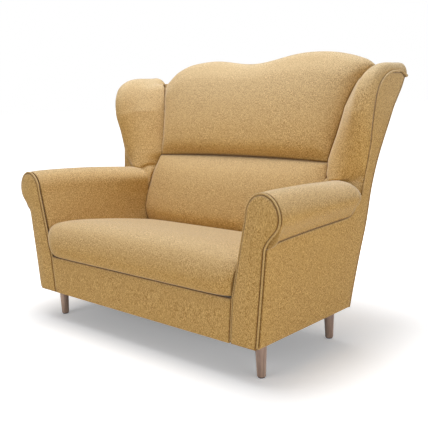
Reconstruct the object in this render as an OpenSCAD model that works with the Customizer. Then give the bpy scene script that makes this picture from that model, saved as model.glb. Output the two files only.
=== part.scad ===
// Wing-back two-seater sofa: timber and board frame, padded arms, wings and back, bench seat, turned legs.
// X runs along the sofa, Y from front to back, Z up. The origin is below the middle, on the floor.

/* [Base] */
// Width across the bottom edge of the outside covers
base_w = 1224; // [1100:2:1500]
// Depth from the arm fronts to the back of the base
base_d = 568; // [540:1:640]
// Height of the legs, glides included
leg_h = 129; // [80:1:180]
// Height of the base, from its bottom edge to the seat seam
base_h = 158; // [130:1:200]
// Outward lean of the arms and sides, in degrees
side_flare = 6.6; // [3:0.1:8]
// Thickness of the timber rails
rail_t = 25; // [18:1:35]
// Thickness of the side and wing boards
board_t = 18; // [12:1:24]
// Thickness of the padded outside covers
cover_t = 14; // [8:1:18]
// Thickness of the board behind each arm front
front_board_t = 8; // [6:1:12]
// Thickness of the padding on each arm front
facing_t = 14; // [8:1:20]
// Size of a corner block along each rail
corner_block = 92; // [85:1:120]
// Height of a corner block
corner_block_h = 45; // [35:1:60]
// Width of the middle brace
brace_w = 40; // [25:1:60]
// Height of the middle brace
brace_h = 90; // [60:1:120]

/* [Legs] */
// Diameter of a leg at its top
leg_top_d = 42; // [34:1:54]
// Diameter of a leg at its foot
leg_foot_d = 31; // [26:1:40]
// Distance from the base side to a front leg's axis
front_leg_inset_x = 50; // [46:1:70]
// Distance from the base side to a rear leg's axis
rear_leg_inset_x = 72; // [60:1:90]
// Distance from the arm fronts to a front leg's axis
front_leg_inset_y = 86; // [80:1:100]
// Distance from the back of the base to a rear leg's axis
rear_leg_inset_y = 29; // [29:1:50]
// Diameter of a leg bolt
bolt_d = 8; // [6:1:10]
// Length of a leg bolt
bolt_l = 70; // [60:1:80]
// Diameter of a foot glide
glide_d = 26; // [20:1:30]
// Thickness of a foot glide
glide_t = 4; // [2:0.5:6]

/* [Seat] */
// Clear width between the arms at the seat seam, at the front
seat_w = 1018; // [900:2:1250]
// How far the seat front stands out past the arm fronts
seat_nose = 25; // [10:1:35]
// Depth from the back of the seat's middle to the back of the base
seat_back_room = 80; // [62:1:118]
// Height of the seat cushion at its crown near the front
seat_t = 156; // [120:1:190]
// Fall of the seat top towards the back
seat_fall = 50; // [20:1:70]
// Number of sinuous springs
spring_count = 7; // [4:1:9]
// Width of a spring across its bends
spring_w = 50; // [36:1:60]
// Thickness of the spring wire
wire_t = 3.6; // [3:0.1:4.5]
// Number of bends along a spring
spring_bends = 13; // [9:1:17]
// Thickness of the felt over the springs
felt_t = 1.2; // [1:0.1:3]

/* [Arms] */
// Height of the arm tops above the floor
arm_h = 641; // [620:1:680]
// Fall of the arm top towards the back
arm_fall = 16; // [0:1:30]
// How far the roll stands out past the side at the front
roll_over_front = 50; // [30:1:60]
// How far the roll stands out past the side at the back
roll_over_back = 28; // [15:1:40]
// Height of the roll's widest part above the floor
roll_mid_h = 566; // [550:1:590]
// Height of the neck under the roll at the front
neck_h = 468; // [440:1:480]
// Distance from the back end of the roll to the back of the base
roll_gap = 23; // [18:1:48]
// Height of the seam under the roll above the floor, at the back
roll_seam_h = 497; // [480:1:510]
// Lean of the inside of the arm, outwards over each 1000 mm of height
arm_lean = 230; // [100:5:300]
// How much narrower the seat is at the back, on each side
back_narrowing = 56; // [30:1:80]
// Height of the side boards above the floor
side_board_h = 560; // [540:1:575]
// Width of the timber along the arm top
arm_rail_w = 44; // [36:1:60]
// Height of the timber along the arm top
arm_rail_h = 25; // [18:1:30]
// Thickness of the piping
piping_d = 7; // [5:0.5:8]

/* [Back and wings] */
// Height of the two humps of the back
hump_h = 1116; // [1090:1:1180]
// Depth of the dip between the humps
dip = 29; // [0:1:45]
// Fall of the back from the humps to its ends
end_fall = 86; // [50:1:110]
// Height of the seam between the back cushions
split_h = 684; // [660:1:720]
// Rise of that seam in the middle
split_bow = 10; // [0:1:20]
// Rake of the back, over each 1000 mm of height
rake = 110; // [60:5:150]
// Curve that the rake gains towards the top
rake_curve = 175; // [100:5:220]
// How far the rear edge is drawn in at mid height
waist = 14; // [0:1:18]
// Depth of the back frame
back_frame_t = 24; // [22:1:34]
// Thickness of the rails of the back
back_rail_t = 20; // [14:1:20]
// Width of a back post
post_w = 45; // [35:1:55]
// How far the lower back cushion swells forward
lumbar = 45; // [20:1:60]
// How far the upper back cushion swells forward
upper_swell = 22; // [5:1:35]
// How far the outside back is crowned
back_crown = 20; // [8:1:30]
// Fall from the humps to the top edge of the wing boards
wing_drop = 108; // [86:1:136]
// Thickness of the padded roll over the wing edge
wing_roll = 34; // [20:1:40]
// Number of webbing straps on the back
strap_count = 6; // [4:1:8]
// Width of a webbing strap
strap_w = 60; // [40:1:70]

/* [Hidden] */
$fn = 48;
// Gap that soft pieces keep to their neighbours
clear = 0.3;
// Thickness of the dust cover and of the webbing
dust_t = 2;
web_t = 1.5;
half_w = base_w / 2;
seat_d = base_d - seat_back_room;
arm_l = base_d - roll_gap;
wing_h = hump_h - wing_drop;
seam_h = leg_h + base_h;
rail_z = leg_h + dust_t;
fabric = "#c9a36c";
fabric_dark = "#a8824c";
piping_colour = "#b08a52";
timber = "#d9b98a";
plywood = "#cfae7c";
steel = "#8d9096";

// Outer plane of the sides at height z, and a point d inside it and v up along it
function side_x(z) = half_w + tan(side_flare) * (z - leg_h);
function side_pt(d, v) = [half_w - d * cos(side_flare) + v * sin(side_flare),
    leg_h + d * sin(side_flare) + v * cos(side_flare)];
function along(z) = (z - leg_h) / cos(side_flare);
// Rear edge of the sides at height z
function rear_y(z) = let (s = (z - leg_h) / 1000, w = (z - split_h) / 130)
    base_d + rake * s + rake_curve * s * s - waist * exp(-w * w);
function mix(a, b, t) = a + (b - a) * t;
function clamp01(t) = max(0, min(1, t));
// Value at t on a smooth line through rows of [t, value]
function curve(rows, t) = let (n = len(rows))
    t <= rows[0][0] ? rows[0][1] : t >= rows[n - 1][0] ? rows[n - 1][1]
    : let (i = [for (k = [0:n - 2]) if (t >= rows[k][0] && t < rows[k + 1][0]) k][0],
        m = i == 0 ? slope(rows, 0, 1) : slope(rows, i - 1, i + 1),
        q = i == n - 2 ? slope(rows, i, i + 1) : slope(rows, i, i + 2),
        w = rows[i + 1][0] - rows[i][0], f = (t - rows[i][0]) / w)
        rows[i][1] * (1 + 2 * f) * (1 - f) * (1 - f) + m * w * f * (1 - f) * (1 - f)
        + rows[i + 1][1] * f * f * (3 - 2 * f) + q * w * f * f * (f - 1);
function slope(rows, a, b) = (rows[b][1] - rows[a][1]) / (rows[b][0] - rows[a][0]);

// Inside of the arm at height z: at its front, and at the back where it meets the back cushion
function inner_front(z) = seat_w / 2 + arm_lean / 1000 * (z - seam_h) * (z < seam_h ? 0.4 : 1);
function inner_back(z) = seat_w / 2 - back_narrowing + curve([[0, 0], [115, 26], [195, 31], [235, 29],
    [285, 21], [335, 9], [395, -6]], z - seam_h);
function arm_inner(y, z) = mix(inner_front(z), inner_back(z), clamp01(y / arm_l) * clamp01(y / arm_l));
function arm_outer(y) = side_x(roll_mid_h) + mix(roll_over_front, roll_over_back, clamp01(y / arm_l));
function arm_top(y) = arm_h - arm_fall * clamp01(y / arm_l) * clamp01(y / arm_l);
function neck_z(y) = mix(neck_h, roll_seam_h, pow(clamp01(y / arm_l), 0.35));

// Points of the arm's section at y: up the inside through heights zs, and down the outside to the neck.
// in is the distance that the section is drawn in by.
roll_angles = [20, 40, 60, 78];
function arm_inside(y, zs, in) = concat([for (z = zs) [arm_inner(y, z) + in, z]],
    [for (a = roll_angles) roll_pt(y, 180 - a, in)]);
function roll_pt(y, a, in) = let (x0 = arm_inner(y, roll_mid_h) + in, x1 = arm_outer(y) - in)
    [(x0 + x1) / 2 + (x1 - x0) / 2 * cos(a), roll_mid_h + (arm_top(y) - in - roll_mid_h) * sin(a)];
function arm_outside(y, in) = concat([for (a = [78, 60, 40, 20, 0]) roll_pt(y, a, in)],
    [for (a = [75, 58, 40, 22]) under_pt(y, a, in)], [[side_x(neck_z(y)) - in, neck_z(y)]]);
function under_pt(y, a, in) = let (x0 = side_x(neck_z(y)) - in, x1 = arm_outer(y) - in)
    [mix(x0, x1, pow(sin(a), 0.8)), mix(neck_z(y), roll_mid_h, 1 - cos(a))];

// Back frame: front face of its rails, and the rear of the cushions before it, at height z
function frame_y(z) = rear_y(z) - back_frame_t;
function cushion_y(z) = frame_y(z) - web_t - 3 * clear;
// Top line of the back at a distance x from the middle
hump_x = 250;
end_x = 590;
function top_z(x) = let (a = abs(x)) hump_h - (a < hump_x ? dip * (1 + cos(180 * a / hump_x)) / 2
    : end_fall * pow((a - hump_x) / (end_x - hump_x), 2.2));

function z_at(v, d) = leg_h + d * sin(side_flare) + v * cos(side_flare);
function lift(ring, z) = [for (p = ring) [p[0], p[1], z]];

// Half widths and front edges of the back cushions where they meet the arms and wings
function lower_half(z) = inner_back(z) - clear;
function upper_half(z) = inner_back(split_h) - clear
    + curve([[0, 0], [180, 28], [335, 76], [380, 116]], z - split_h);
function split_z(u) = split_h - split_bow * u * u;
function lower_edge_y(z) = cushion_y(split_h) - 8 - curve([[-300, 107], [-262, 111], [-212, 100], [-164, 85],
    [-111, 68], [-62, 48], [-22, 20], [0, 0]], z - split_h);
function upper_edge_y(z) = cushion_y(z) - curve([[0, 8], [38, 24], [118, 38], [180, 44], [335, 57], [400, 50]],
    z - split_h);
// Rear line of the seat at u, the share of the half width from the middle
function seat_rear(u) = seat_d + 48 * pow(abs(u), 3);

// Solid through rings of points, each ring turning the same way, with flat ends or fans
module loft(rings, fans = false) {
    n = len(rings[0]);
    m = len(rings);
    points = [for (r = rings) each r];
    sides = [for (i = [0:m - 2], j = [0:n - 1]) let (k = (j + 1) % n)
        each [[i * n + j, i * n + n + j, i * n + n + k], [i * n + j, i * n + n + k, i * n + k]]];
    flat_ends = [[for (j = [0:n - 1]) j], [for (j = [n - 1:-1:0]) (m - 1) * n + j]];
    fan_ends = concat([for (j = [0:n - 1]) [m * n, j, (j + 1) % n]],
        [for (j = [0:n - 1]) [m * n + 1, (m - 1) * n + (j + 1) % n, (m - 1) * n + j]]);
    polyhedron(fans ? concat(points, [middle(rings[0]), middle(rings[m - 1])]) : points,
        concat(sides, fans ? fan_ends : flat_ends), 4);
}
function middle(ring) = [for (a = [0:2]) [for (p = ring) p[a]] * [for (p = ring) 1] / len(ring)];

// Tube of six sides along points
module tube(path, d) {
    n = len(path);
    loft([for (i = [0:n - 1]) let (t = unit(path[min(i + 1, n - 1)] - path[max(i - 1, 0)]),
        a = unit(cross(t, [0.2, 1, 0.1])), b = cross(t, a))
        [for (k = [0:5]) path[i] + d / 2 * (cos(60 * k) * a + sin(60 * k) * b)]], true);
}
function unit(v) = v / norm(v);
module on_side() { translate([half_w, 0, leg_h]) rotate([0, side_flare, 0]) children(); }
module left() { mirror([1, 0, 0]) children(); }
// Board in the plane of the side, from depth d to d + t inside it, with outline points [y, v]
module side_slab(d, t, points) {
    on_side() translate([-d - t, 0, 0]) rotate([90, 0, 90]) linear_extrude(t) polygon(points);
}
// Everything between the two sides, at a distance d inside them
module between(d) {
    low = -200;
    high = 1300;
    rotate([90, 0, 0]) translate([0, 0, -1100]) linear_extrude(1400)
        polygon([for (e = [[-1, low], [-1, high], [1, high], [1, low]]) let (q = side_pt(d, e[1]))
            [e[0] * q[0], q[1]]]);
}
module placed() { translate([0, -y_mid, 0]) children(); }

// Soft pieces

// Section of the seat at u, the share of the half width from the middle
nose_z = seam_h + 45;
nose_y = 65;
function seat_top(y, u) = seam_h + seat_t - seat_fall * pow(clamp01((y - 90) / (seat_d - 90)), 1.2)
    - 15 * pow(abs(u), 4) - 9 * pow(abs(u), 24);
function seat_ring(u) = let (yb = seat_rear(u) - clear, bottom = seam_h + clear, zr = seat_top(yb, u),
    end = 9 * pow(abs(u), 24), rise = seat_top(nose_y, u) - nose_z)
    concat([[-8 + end, bottom], [yb * 0.5, bottom], [yb, bottom], [yb, mix(bottom, zr, 0.5)], [yb, zr - 16],
        [yb - 10, zr - 3]],
        [for (t = [0.9, 0.78, 0.66, 0.54, 0.42, 0.31, 0.21]) [yb * t, seat_top(yb * t, u)]],
        [for (a = [78:-13:0]) [nose_y - (nose_y + seat_nose - end) * pow(cos(a), 0.84),
            nose_z + rise * pow(sin(a), 0.84)]],
        [for (t = [1, 0.55, 0.22]) [mix(-8 + end, end - seat_nose, pow(t, 0.45)), mix(bottom, nose_z, t)]]);
function seat_side(y, z, u) = u * (arm_inner(y, z) - clear);
across = [-1, -0.985, -0.95, -0.89, -0.8, -0.68, -0.54, -0.38, -0.2, 0, 0.2, 0.38, 0.54, 0.68, 0.8, 0.89, 0.95,
    0.985, 1];
module seat_cushion() {
    color(fabric) placed() loft([for (u = across) [for (p = seat_ring(u))
        [seat_side(p[0], p[1], u), p[0], p[1]]]], true);
}

function edge_draw(z, u) = 7 * pow(abs(u), 20) * clamp01(abs(z - split_h) / 60);
function lower_front(z, u) = lower_edge_y(min(z, split_h)) + edge_draw(z, u)
    - lumbar * (1 - pow(abs(u), 2.6)) * curve([[-310, 1], [-212, 1], [-122, 0.88], [-62, 0.6], [-22, 0.3],
    [0, 0]], z - split_h);
lower_bottom = seam_h + 5;
function lower_ring(u) = let (top = split_z(u) - clear, fall = top - lower_bottom)
    concat([[seat_rear(u) + clear, lower_bottom]],
        [for (t = [0, 0.3, 0.55, 0.78, 0.97]) let (z = lower_bottom + fall * t) [cushion_y(z), z]],
        [[mix(lower_front(top, u), cushion_y(top), 0.5), top], [lower_front(top, u), top - 3]],
        [for (d = [12, 26, 46, 72, 104, 142, 184, 226, 262, 290]) [lower_front(top - d, u), top - d]],
        [[seat_rear(u) + clear, top - 312]]);
module lower_back_cushion() {
    color(fabric) placed() loft([for (u = across) [for (p = lower_ring(u))
        [u * lower_half(p[1]), p[0], p[1]]]], true);
}

function upper_front(z, u) = upper_edge_y(z) + edge_draw(z, u)
    - upper_swell * (1 - pow(abs(u), 3)) * curve([[0, 0], [36, 0.9], [110, 1], [260, 0.8], [400, 0.3]],
    z - split_h);
top_pad = 54;
top_half = upper_half(hump_h - 60);
function upper_ring(u) = let (zt = top_z(u * top_half), low = split_z(u) + clear, rail = zt - top_pad + clear,
    hem = zt - 30, rise = rail - low)
    concat([[mix(upper_front(low, u), cushion_y(low), 0.4), low]],
        [for (t = [0.02, 0.25, 0.5, 0.75, 1]) let (z = low + rise * t) [cushion_y(z), z]],
        [[rear_y(rail) - clear, rail], [rear_y(hem) - clear, hem], [rear_y(zt - 8) - 14, zt - 10],
            [mix(rear_y(zt), upper_front(zt, u), 0.4), zt],
            [mix(rear_y(zt), upper_front(zt, u), 0.72), zt - 6]],
        [for (d = [20, 40]) [upper_front(zt - d, u) + 220 / d, zt - d]],
        [for (t = [0.8, 0.66, 0.5, 0.36, 0.23, 0.13, 0.06, 0.02]) let (z = mix(low, zt, t))
            [upper_front(z, u), z]]);
module upper_back_cushion() {
    color(fabric) placed() loft([for (u = across) [for (p = upper_ring(u))
        [u * upper_half(p[1]), p[0], p[1]]]], true);
}

arm_front_y = facing_t + front_board_t;
board_v = along(side_board_h);
rail_d = cover_t + board_t / 2 - arm_rail_w / 2;
inner_d = cover_t + board_t + clear;
arm_bottom = seam_h + 1;
// Slot of the arm padding over the side board and the timber on its edge
function arm_slot(y) = let (c = cover_t - clear, v0 = along(neck_z(y)), v1 = board_v - clear,
    v2 = board_v + arm_rail_h + clear, d0 = rail_d - clear, d1 = rail_d + arm_rail_w + clear)
    [side_pt(c, v0), side_pt(c, v1), side_pt(d0, v1), side_pt(d0, v2), side_pt(d1, v2), side_pt(d1, v1),
        side_pt(inner_d, v1), [side_x(arm_bottom) - inner_d / cos(side_flare), arm_bottom]];
function arm_ring(y, in) = concat(arm_inside(y, [for (t = [0, 0.3, 0.55, 0.75, 0.9, 1])
    mix(arm_bottom, roll_mid_h, t)], in), arm_outside(y, in), arm_slot(y));
// Shares of the length of the arm padding, and how far its section is drawn in there
arm_stations = [[0, 0], [0.034, 0], [0.111, 0], [0.245, 0], [0.398, 0], [0.551, 0], [0.704, 0], [0.818, 0],
    [0.914, 0], [0.962, 0], [0.987, 1.5], [1, 5]];
function station_y(s) = mix(arm_front_y + clear, arm_l, s[0]);
module arm_pad() {
    color(fabric) placed() loft([for (s = arm_stations) let (y = station_y(s))
        [for (p = arm_ring(y, s[1])) [p[0], y, p[1]]]]);
}
module arm_pad_right() { arm_pad(); }
module arm_pad_left() { left() arm_pad(); }

// Levels of the arm front, bottom to top, for its inside edge, and its two edges as lists of equal length
front_levels = concat([leg_h, mix(leg_h, seam_h, 0.5), seam_h, mix(seam_h, neck_h, 0.4),
    mix(seam_h, neck_h, 0.75), neck_h], [for (t = [0.2:0.2:1]) mix(neck_h, roll_mid_h, t)]);
function front_inside(in) = arm_inside(0, front_levels, in);
function front_outside(in) = let (o = arm_outside(0, in), n = len(o)) concat(
    [for (k = [0:4]) [side_x(front_levels[k]) - in, front_levels[k]]], [for (k = [n - 1:-1:0]) o[k]]);
module arm_facing() {
    i = front_inside(0);
    o = front_outside(0);
    back = facing_t - clear;
    profile = [[0, 3], [0.1, -2], [0.28, -5], [0.5, -6], [0.72, -5], [0.9, -2], [1, 3], [1, back], [0, back]];
    color(fabric) placed() loft([for (k = [0:len(i) - 1]) [for (q = profile)
        [mix(i[k][0], o[k][0], q[0]), q[1], mix(i[k][1], o[k][1], q[0])]]]);
}
module arm_facing_right() { arm_facing(); }
module arm_facing_left() { left() arm_facing(); }

board_inset = 8;
module arm_front_board() {
    i = front_inside(board_inset);
    o = front_outside(board_inset);
    outline = concat(i, [for (k = [len(o) - 1:-1:0]) o[k]]);
    color(plywood) placed() translate([0, arm_front_y, 0]) rotate([90, 0, 0]) linear_extrude(front_board_t)
        polygon([for (p = outline) [p[0], max(p[1], rail_z)]]);
}
module arm_front_board_right() { arm_front_board(); }
module arm_front_board_left() { left() arm_front_board(); }

module arm_piping() {
    inset = piping_d / 2;
    y = facing_t + front_board_t / 2;
    low = leg_h + piping_d / 2;
    i = [for (z = concat([low], [for (k = [1:10]) front_levels[k]])) [arm_inner(0, z) + inset, y, z]];
    arc = [for (a = [165:-15:0]) let (p = roll_pt(0, a, inset)) [p[0], y, p[1]]];
    under = [for (a = [75:-15:15]) let (p = under_pt(0, a, inset)) [p[0], y, p[1]]];
    side = [for (z = concat([neck_h], [for (k = [4:-1:1]) front_levels[k]], [low])) [side_x(z) - inset, y, z]];
    color(piping_colour) placed() tube(concat(i, arc, under, side), piping_d);
}
module arm_piping_right() { arm_piping(); }
module arm_piping_left() { left() arm_piping(); }

// Wing: heights are above the floor, and its parts move up and down with the wing boards
wing_foot = arm_top(arm_l - 45) + 1;
function wing_s(z) = z - wing_h;
function piping_y(z) = rear_y(wing_h) - curve([[-448, 237], [-334, 218], [-262, 208], [-165, 209],
    [-90, 204], [-43, 183], [-21, 166], [-5, 143], [0, 113]], wing_s(z));
function nose_in_y(z) = rear_y(wing_h) - curve([[-378, 277], [-248, 257], [-218, 240], [-158, 221], [-74, 180],
    [-36, 144], [-8, 100], [5, 84]], wing_s(z));
function nose_out_y(z) = rear_y(wing_h) - curve([[-408, 234], [-283, 241], [-218, 250], [-145, 265], [-94, 261],
    [-42, 247], [-15, 227], [5, 200]], wing_s(z));
nose_w = 122;
nose_out = 22;
function wing_inside(z) = (z < split_h ? lower_half(z) : upper_half(z)) + clear;
function wing_edge_y(z) = z < split_h ? lower_edge_y(z) : upper_edge_y(z);
function board_in_x(z) = side_x(z) - inner_d / cos(side_flare);
// Point at t from a to b, bowed out to the right of that way by bow times its length
function bowed(a, b, t, bow) = let (d = b - a) a + d * t + 4 * t * (1 - t) * bow * [d[1], -d[0]];
function nose_ring(n, o, p, q, r, s, j, bow) = concat([n], [for (t = [0.15, 0.32, 0.5, 0.68, 0.85])
    bowed(n, o, t, bow)], [o], [for (t = [0.35, 0.7]) bowed(o, p, t, bow * 0.55)], [p, q, r, s, j],
    [for (t = [0.35, 0.7]) bowed(j, n, t, bow * 0.1)]);
nose_bow = 0.22;
// Below the arm top the wing is flat in front, against the end of the arm roll, and clear of the side board
board_top = side_board_h + inner_d * sin(side_flare) + 2 * clear;
foot_in = 62;
function low_ring(z) = let (f = arm_l + clear, over = z > board_top, back = cushion_y(z),
    g = clamp01((z - board_top) / (wing_foot - board_top)), out = over ? side_x(z) : board_in_x(z),
    e = piping_y(max(z, side_board_h)) - clear)
    nose_ring([arm_inner(arm_l, z) + foot_in * g, f], [out - nose_out - 8, f], [out, over ? e : f + 8],
        [board_in_x(z), over ? e : f + 10], [board_in_x(z), back], [wing_inside(z), back],
        [wing_inside(z), max(wing_edge_y(z), f + 4)], 0);
function wing_ring(z) = let (out = side_x(z), e = piping_y(z) - clear)
    nose_ring([out - nose_w, nose_in_y(z)], [out - nose_out, nose_out_y(z)], [out, e], [board_in_x(z), e],
        [board_in_x(z), cushion_y(z)], [wing_inside(z), cushion_y(z)], [wing_inside(z), wing_edge_y(z)],
        nose_bow);
// Ring of the roll over the wing's top edge, drawn in by kx and ky
wing_top = wing_h + inner_d * sin(side_flare) + 2 * clear;
crown_in = 78;
crown_back = 100;
function crown_ring(z, kx, ky) = let (w = wing_top, out = side_x(w),
    c = [out - crown_in, rear_y(w) - crown_back],
    ring = nose_ring([out - nose_w, nose_in_y(w)], [out - nose_out, nose_out_y(w)], [out, piping_y(w)],
        [out, rear_y(w) - 70], [out, rear_y(w) - clear], [wing_inside(w), rear_y(w) - clear],
        [wing_inside(w), wing_edge_y(w)], nose_bow))
    [for (p = ring) [c[0] + (p[0] - c[0]) * kx, c[1] + (p[1] - c[1]) * ky, z]];
module wing_pad() {
    low = concat([for (t = [0, 0.3, 0.6, 0.85, 1]) mix(lower_bottom, board_top, t)],
        [board_top + clear, mix(board_top, wing_foot, 0.5), wing_foot - clear]);
    high = [for (t = [0, 0.06, 0.14, 0.23, 0.32, 0.42, 0.52, 0.62, 0.72, 0.81, 0.88, 0.94, 0.985, 1])
        mix(wing_foot, wing_top - clear, t)];
    crown = [[0, 1, 1], [0.3, 0.975, 0.98], [0.58, 0.91, 0.93], [0.8, 0.8, 0.84], [0.94, 0.64, 0.7],
        [1, 0.44, 0.5]];
    color(fabric) placed() loft(concat([for (z = low) lift(low_ring(z), z)],
        [for (z = high) lift(wing_ring(z), z)],
        [for (c = crown) crown_ring(wing_top + wing_roll * c[0], c[1], c[2])]), true);
}
module wing_pad_right() { wing_pad(); }
module wing_pad_left() { left() wing_pad(); }

module wing_piping() {
    r = piping_d / 2;
    up = [for (t = [0, 0.12, 0.25, 0.4, 0.55, 0.68, 0.78, 0.86, 0.92, 0.96, 0.99])
        let (z = mix(side_board_h + 20, wing_h, t)) [side_x(z) + r + clear, piping_y(z), z]];
    over = [for (t = [0.15, 0.4, 0.7, 1]) let (z = wing_h + 2 - 10 * t * t)
        [side_x(z) + r + clear, mix(piping_y(wing_h), rear_y(wing_h) - 12, t), z]];
    color(piping_colour) placed() tube(concat(up, over), piping_d);
}
module wing_piping_right() { wing_piping(); }
module wing_piping_left() { left() wing_piping(); }

// Board or cover in a side, from depth d to d + t, whose edges follow the rear line and the wing's piping
function side_rear(d, z0, z1) = [for (t = [0:0.0625:1]) let (v = along(mix(z0, z1, t)))
    [rear_y(z_at(v, d)), v]];
function wing_front(d) = [for (t = [1, 0.99, 0.96, 0.9, 0.84, 0.75, 0.6, 0.4, 0.2, 0])
    let (v = along(mix(side_board_h, wing_h, t))) [piping_y(z_at(v, d)), v]];
// Outside cover of a side: under the roll, and up behind the wing's piping to its top
module side_cover() {
    end = arm_l + 2 * clear;
    neck_run = [for (k = [len(arm_stations) - 1:-1:0]) let (y = station_y(arm_stations[k]))
        [y, along(neck_z(y)) - 2 * clear]];
    color(fabric_dark) placed() side_slab(0, cover_t, concat([[arm_front_y + clear, 0]],
        side_rear(0, leg_h, wing_h), wing_front(cover_t),
        [[end, board_v], [end, along(neck_z(end)) - 2 * clear]], neck_run));
}
module side_cover_right() { side_cover(); }
module side_cover_left() { left() side_cover(); }

module front_apron() {
    top = seam_h - clear;
    back = arm_front_y - clear;
    profile = [[6, leg_h], [back, leg_h], [back, top], [6, top], [1, top - 4], [-2, top - 16],
        [-3, mix(leg_h, top, 0.5)], [-2, leg_h + 12], [1, leg_h + 3]];
    color(fabric) placed() loft([for (u = [-1, -0.97, -0.6, -0.2, 0.2, 0.6, 0.97, 1]) [for (p = profile)
        [u * (inner_front(p[1]) - clear), p[0] + 2 * pow(abs(u), 30), p[1]]]]);
}

// Outside back, crowned to the rear, with the same top line as the back
back_drop = 31;
ends_over = 6;
function back_top(u) = max(top_z(min(abs(u) * side_x(wing_h), end_x)) - back_drop, wing_h + ends_over);
function back_pt(u, t, side) = let (z = mix(leg_h, back_top(u), t), x = u * side_x(z))
    [x, rear_y(z) + (side == 0 ? clear
        : 5 + back_crown * (1 - pow(abs(u), 8)) * (1 - pow(abs(2 * t - 1), 8))), z];
back_levels = [0, 0.02, 0.1, 0.22, 0.34, 0.45, 0.54, 0.62, 0.7, 0.8, 0.9, 0.98, 1];
function back_ring(u) = concat([for (t = back_levels) back_pt(u, 1 - t, 0)],
    [for (t = back_levels) back_pt(u, t, 1)]);
module outside_back() {
    color(fabric_dark) placed() loft([for (u = across) let (ring = back_ring(u), n = len(ring))
        [for (k = [n - 1:-1:0]) ring[k]]], true);
}
rear_most = max([for (u = across, p = back_ring(u)) p[1]]);
y_mid = (rear_most - seat_nose) / 2;

module dust_cover() {
    holes = bolt_d + 2;
    color("#2b2a2a") placed() difference() {
        intersection() {
            translate([-half_w, arm_front_y, leg_h]) cube([base_w, base_d - arm_front_y, dust_t]);
            between(cover_t + clear);
        }
        for (p = leg_spots, m = [-1, 1]) translate([m * p[0], p[1], leg_h - 1])
            cylinder(d = holes, h = dust_t + 2);
    }
}

// Legs and their fixings

leg_spots = [[half_w - front_leg_inset_x, front_leg_inset_y],
    [half_w - rear_leg_inset_x, base_d - rear_leg_inset_y]];
bolt_gap = 0.2;
pin_d = 4;
pin_l = 12;
module at_leg(k) { placed() translate([leg_spots[k][0], leg_spots[k][1], 0]) children(); }
module leg() {
    chamfer = 1.5;
    color("#8f7a6c") difference() {
        rotate_extrude() polygon([[0, glide_t], [leg_foot_d / 2 - chamfer, glide_t],
            [leg_foot_d / 2, glide_t + chamfer], [leg_top_d / 2, leg_h], [0, leg_h]]);
        translate([0, 0, bolt_low - 2]) cylinder(d = bolt_d + bolt_gap, h = leg_h);
        cylinder(d = pin_d + bolt_gap, h = glide_t + pin_l + 1);
    }
}
module leg_front_right() { at_leg(0) leg(); }
module leg_front_left() { left() at_leg(0) leg(); }
module leg_rear_right() { at_leg(1) leg(); }
module leg_rear_left() { left() at_leg(1) leg(); }

module glide() {
    edge = glide_t / 3;
    color("#3a3836") rotate_extrude() polygon([[0, 0], [glide_d / 2 - edge, 0], [glide_d / 2, edge],
        [glide_d / 2, glide_t], [pin_d / 2, glide_t], [pin_d / 2, glide_t + pin_l], [0, glide_t + pin_l]]);
}
module glide_front_right() { at_leg(0) glide(); }
module glide_front_left() { left() at_leg(0) glide(); }
module glide_rear_right() { at_leg(1) glide(); }
module glide_rear_left() { left() at_leg(1) glide(); }

block_top = rail_z + corner_block_h;
bolt_low = block_top + 1 - bolt_l;
nut_flange_d = 21;
nut_flange_t = 1.5;
nut_barrel_d = 10;
nut_barrel_l = 14;
module leg_bolts() {
    color(steel) for (k = [0, 1], m = [0, 1]) mirror([m, 0, 0]) at_leg(k) translate([0, 0, bolt_low])
        cylinder(d = bolt_d, h = bolt_l);
}
module leg_nuts() {
    color(steel) for (k = [0, 1], m = [0, 1]) mirror([m, 0, 0]) at_leg(k) translate([0, 0, block_top])
        difference() {
            union() {
                cylinder(d = nut_flange_d, h = nut_flange_t);
                translate([0, 0, -nut_barrel_l]) cylinder(d = nut_barrel_d, h = nut_barrel_l);
            }
            translate([0, 0, -nut_barrel_l - 1])
                cylinder(d = bolt_d + bolt_gap, h = nut_barrel_l + nut_flange_t + 2);
        }
}

// Seat frame

felt_z = seam_h - felt_t;
spring_z = felt_z - clear - wire_t;
clip_t = 1.2;
rail_top = spring_z - clip_t;
rear_rail_y = base_d - board_t;
frame_d = cover_t + board_t;
module seat_rail(y, t, gap) {
    color(timber) placed() intersection() {
        translate([-half_w, y, rail_z]) cube([base_w, t, rail_top - rail_z]);
        between(gap);
    }
}
module front_rail() { seat_rail(arm_front_y, rail_t, frame_d); }
module rear_rail() { seat_rail(rear_rail_y, board_t, frame_d); }
module middle_brace() {
    y = arm_front_y + rail_t;
    color(timber) placed() translate([-brace_w / 2, y, rail_z]) cube([brace_w, rear_rail_y - y, brace_h]);
}

// Corner block against a rail at y, reaching away from it in direction s, bored for the leg's nut
module corner_block(k, y, s) {
    side = half_w - frame_d;
    tip = corner_block * 0.28;
    color(timber) placed() intersection() {
        translate([0, y, rail_z]) difference() {
            linear_extrude(corner_block_h) polygon([[half_w, 0], [half_w, s * corner_block],
                [side - tip, s * corner_block], [side - corner_block, s * tip], [side - corner_block, 0]]);
            translate([leg_spots[k][0], leg_spots[k][1] - y, -1])
                cylinder(d = nut_barrel_d + bolt_gap, h = corner_block_h + 2);
        }
        between(frame_d);
    }
}
module corner_block_front_right() { corner_block(0, arm_front_y + rail_t, 1); }
module corner_block_front_left() { left() corner_block(0, arm_front_y + rail_t, 1); }
module corner_block_rear_right() { corner_block(1, rear_rail_y, -1); }
module corner_block_rear_left() { left() corner_block(1, rear_rail_y, -1); }

// Sides

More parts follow.
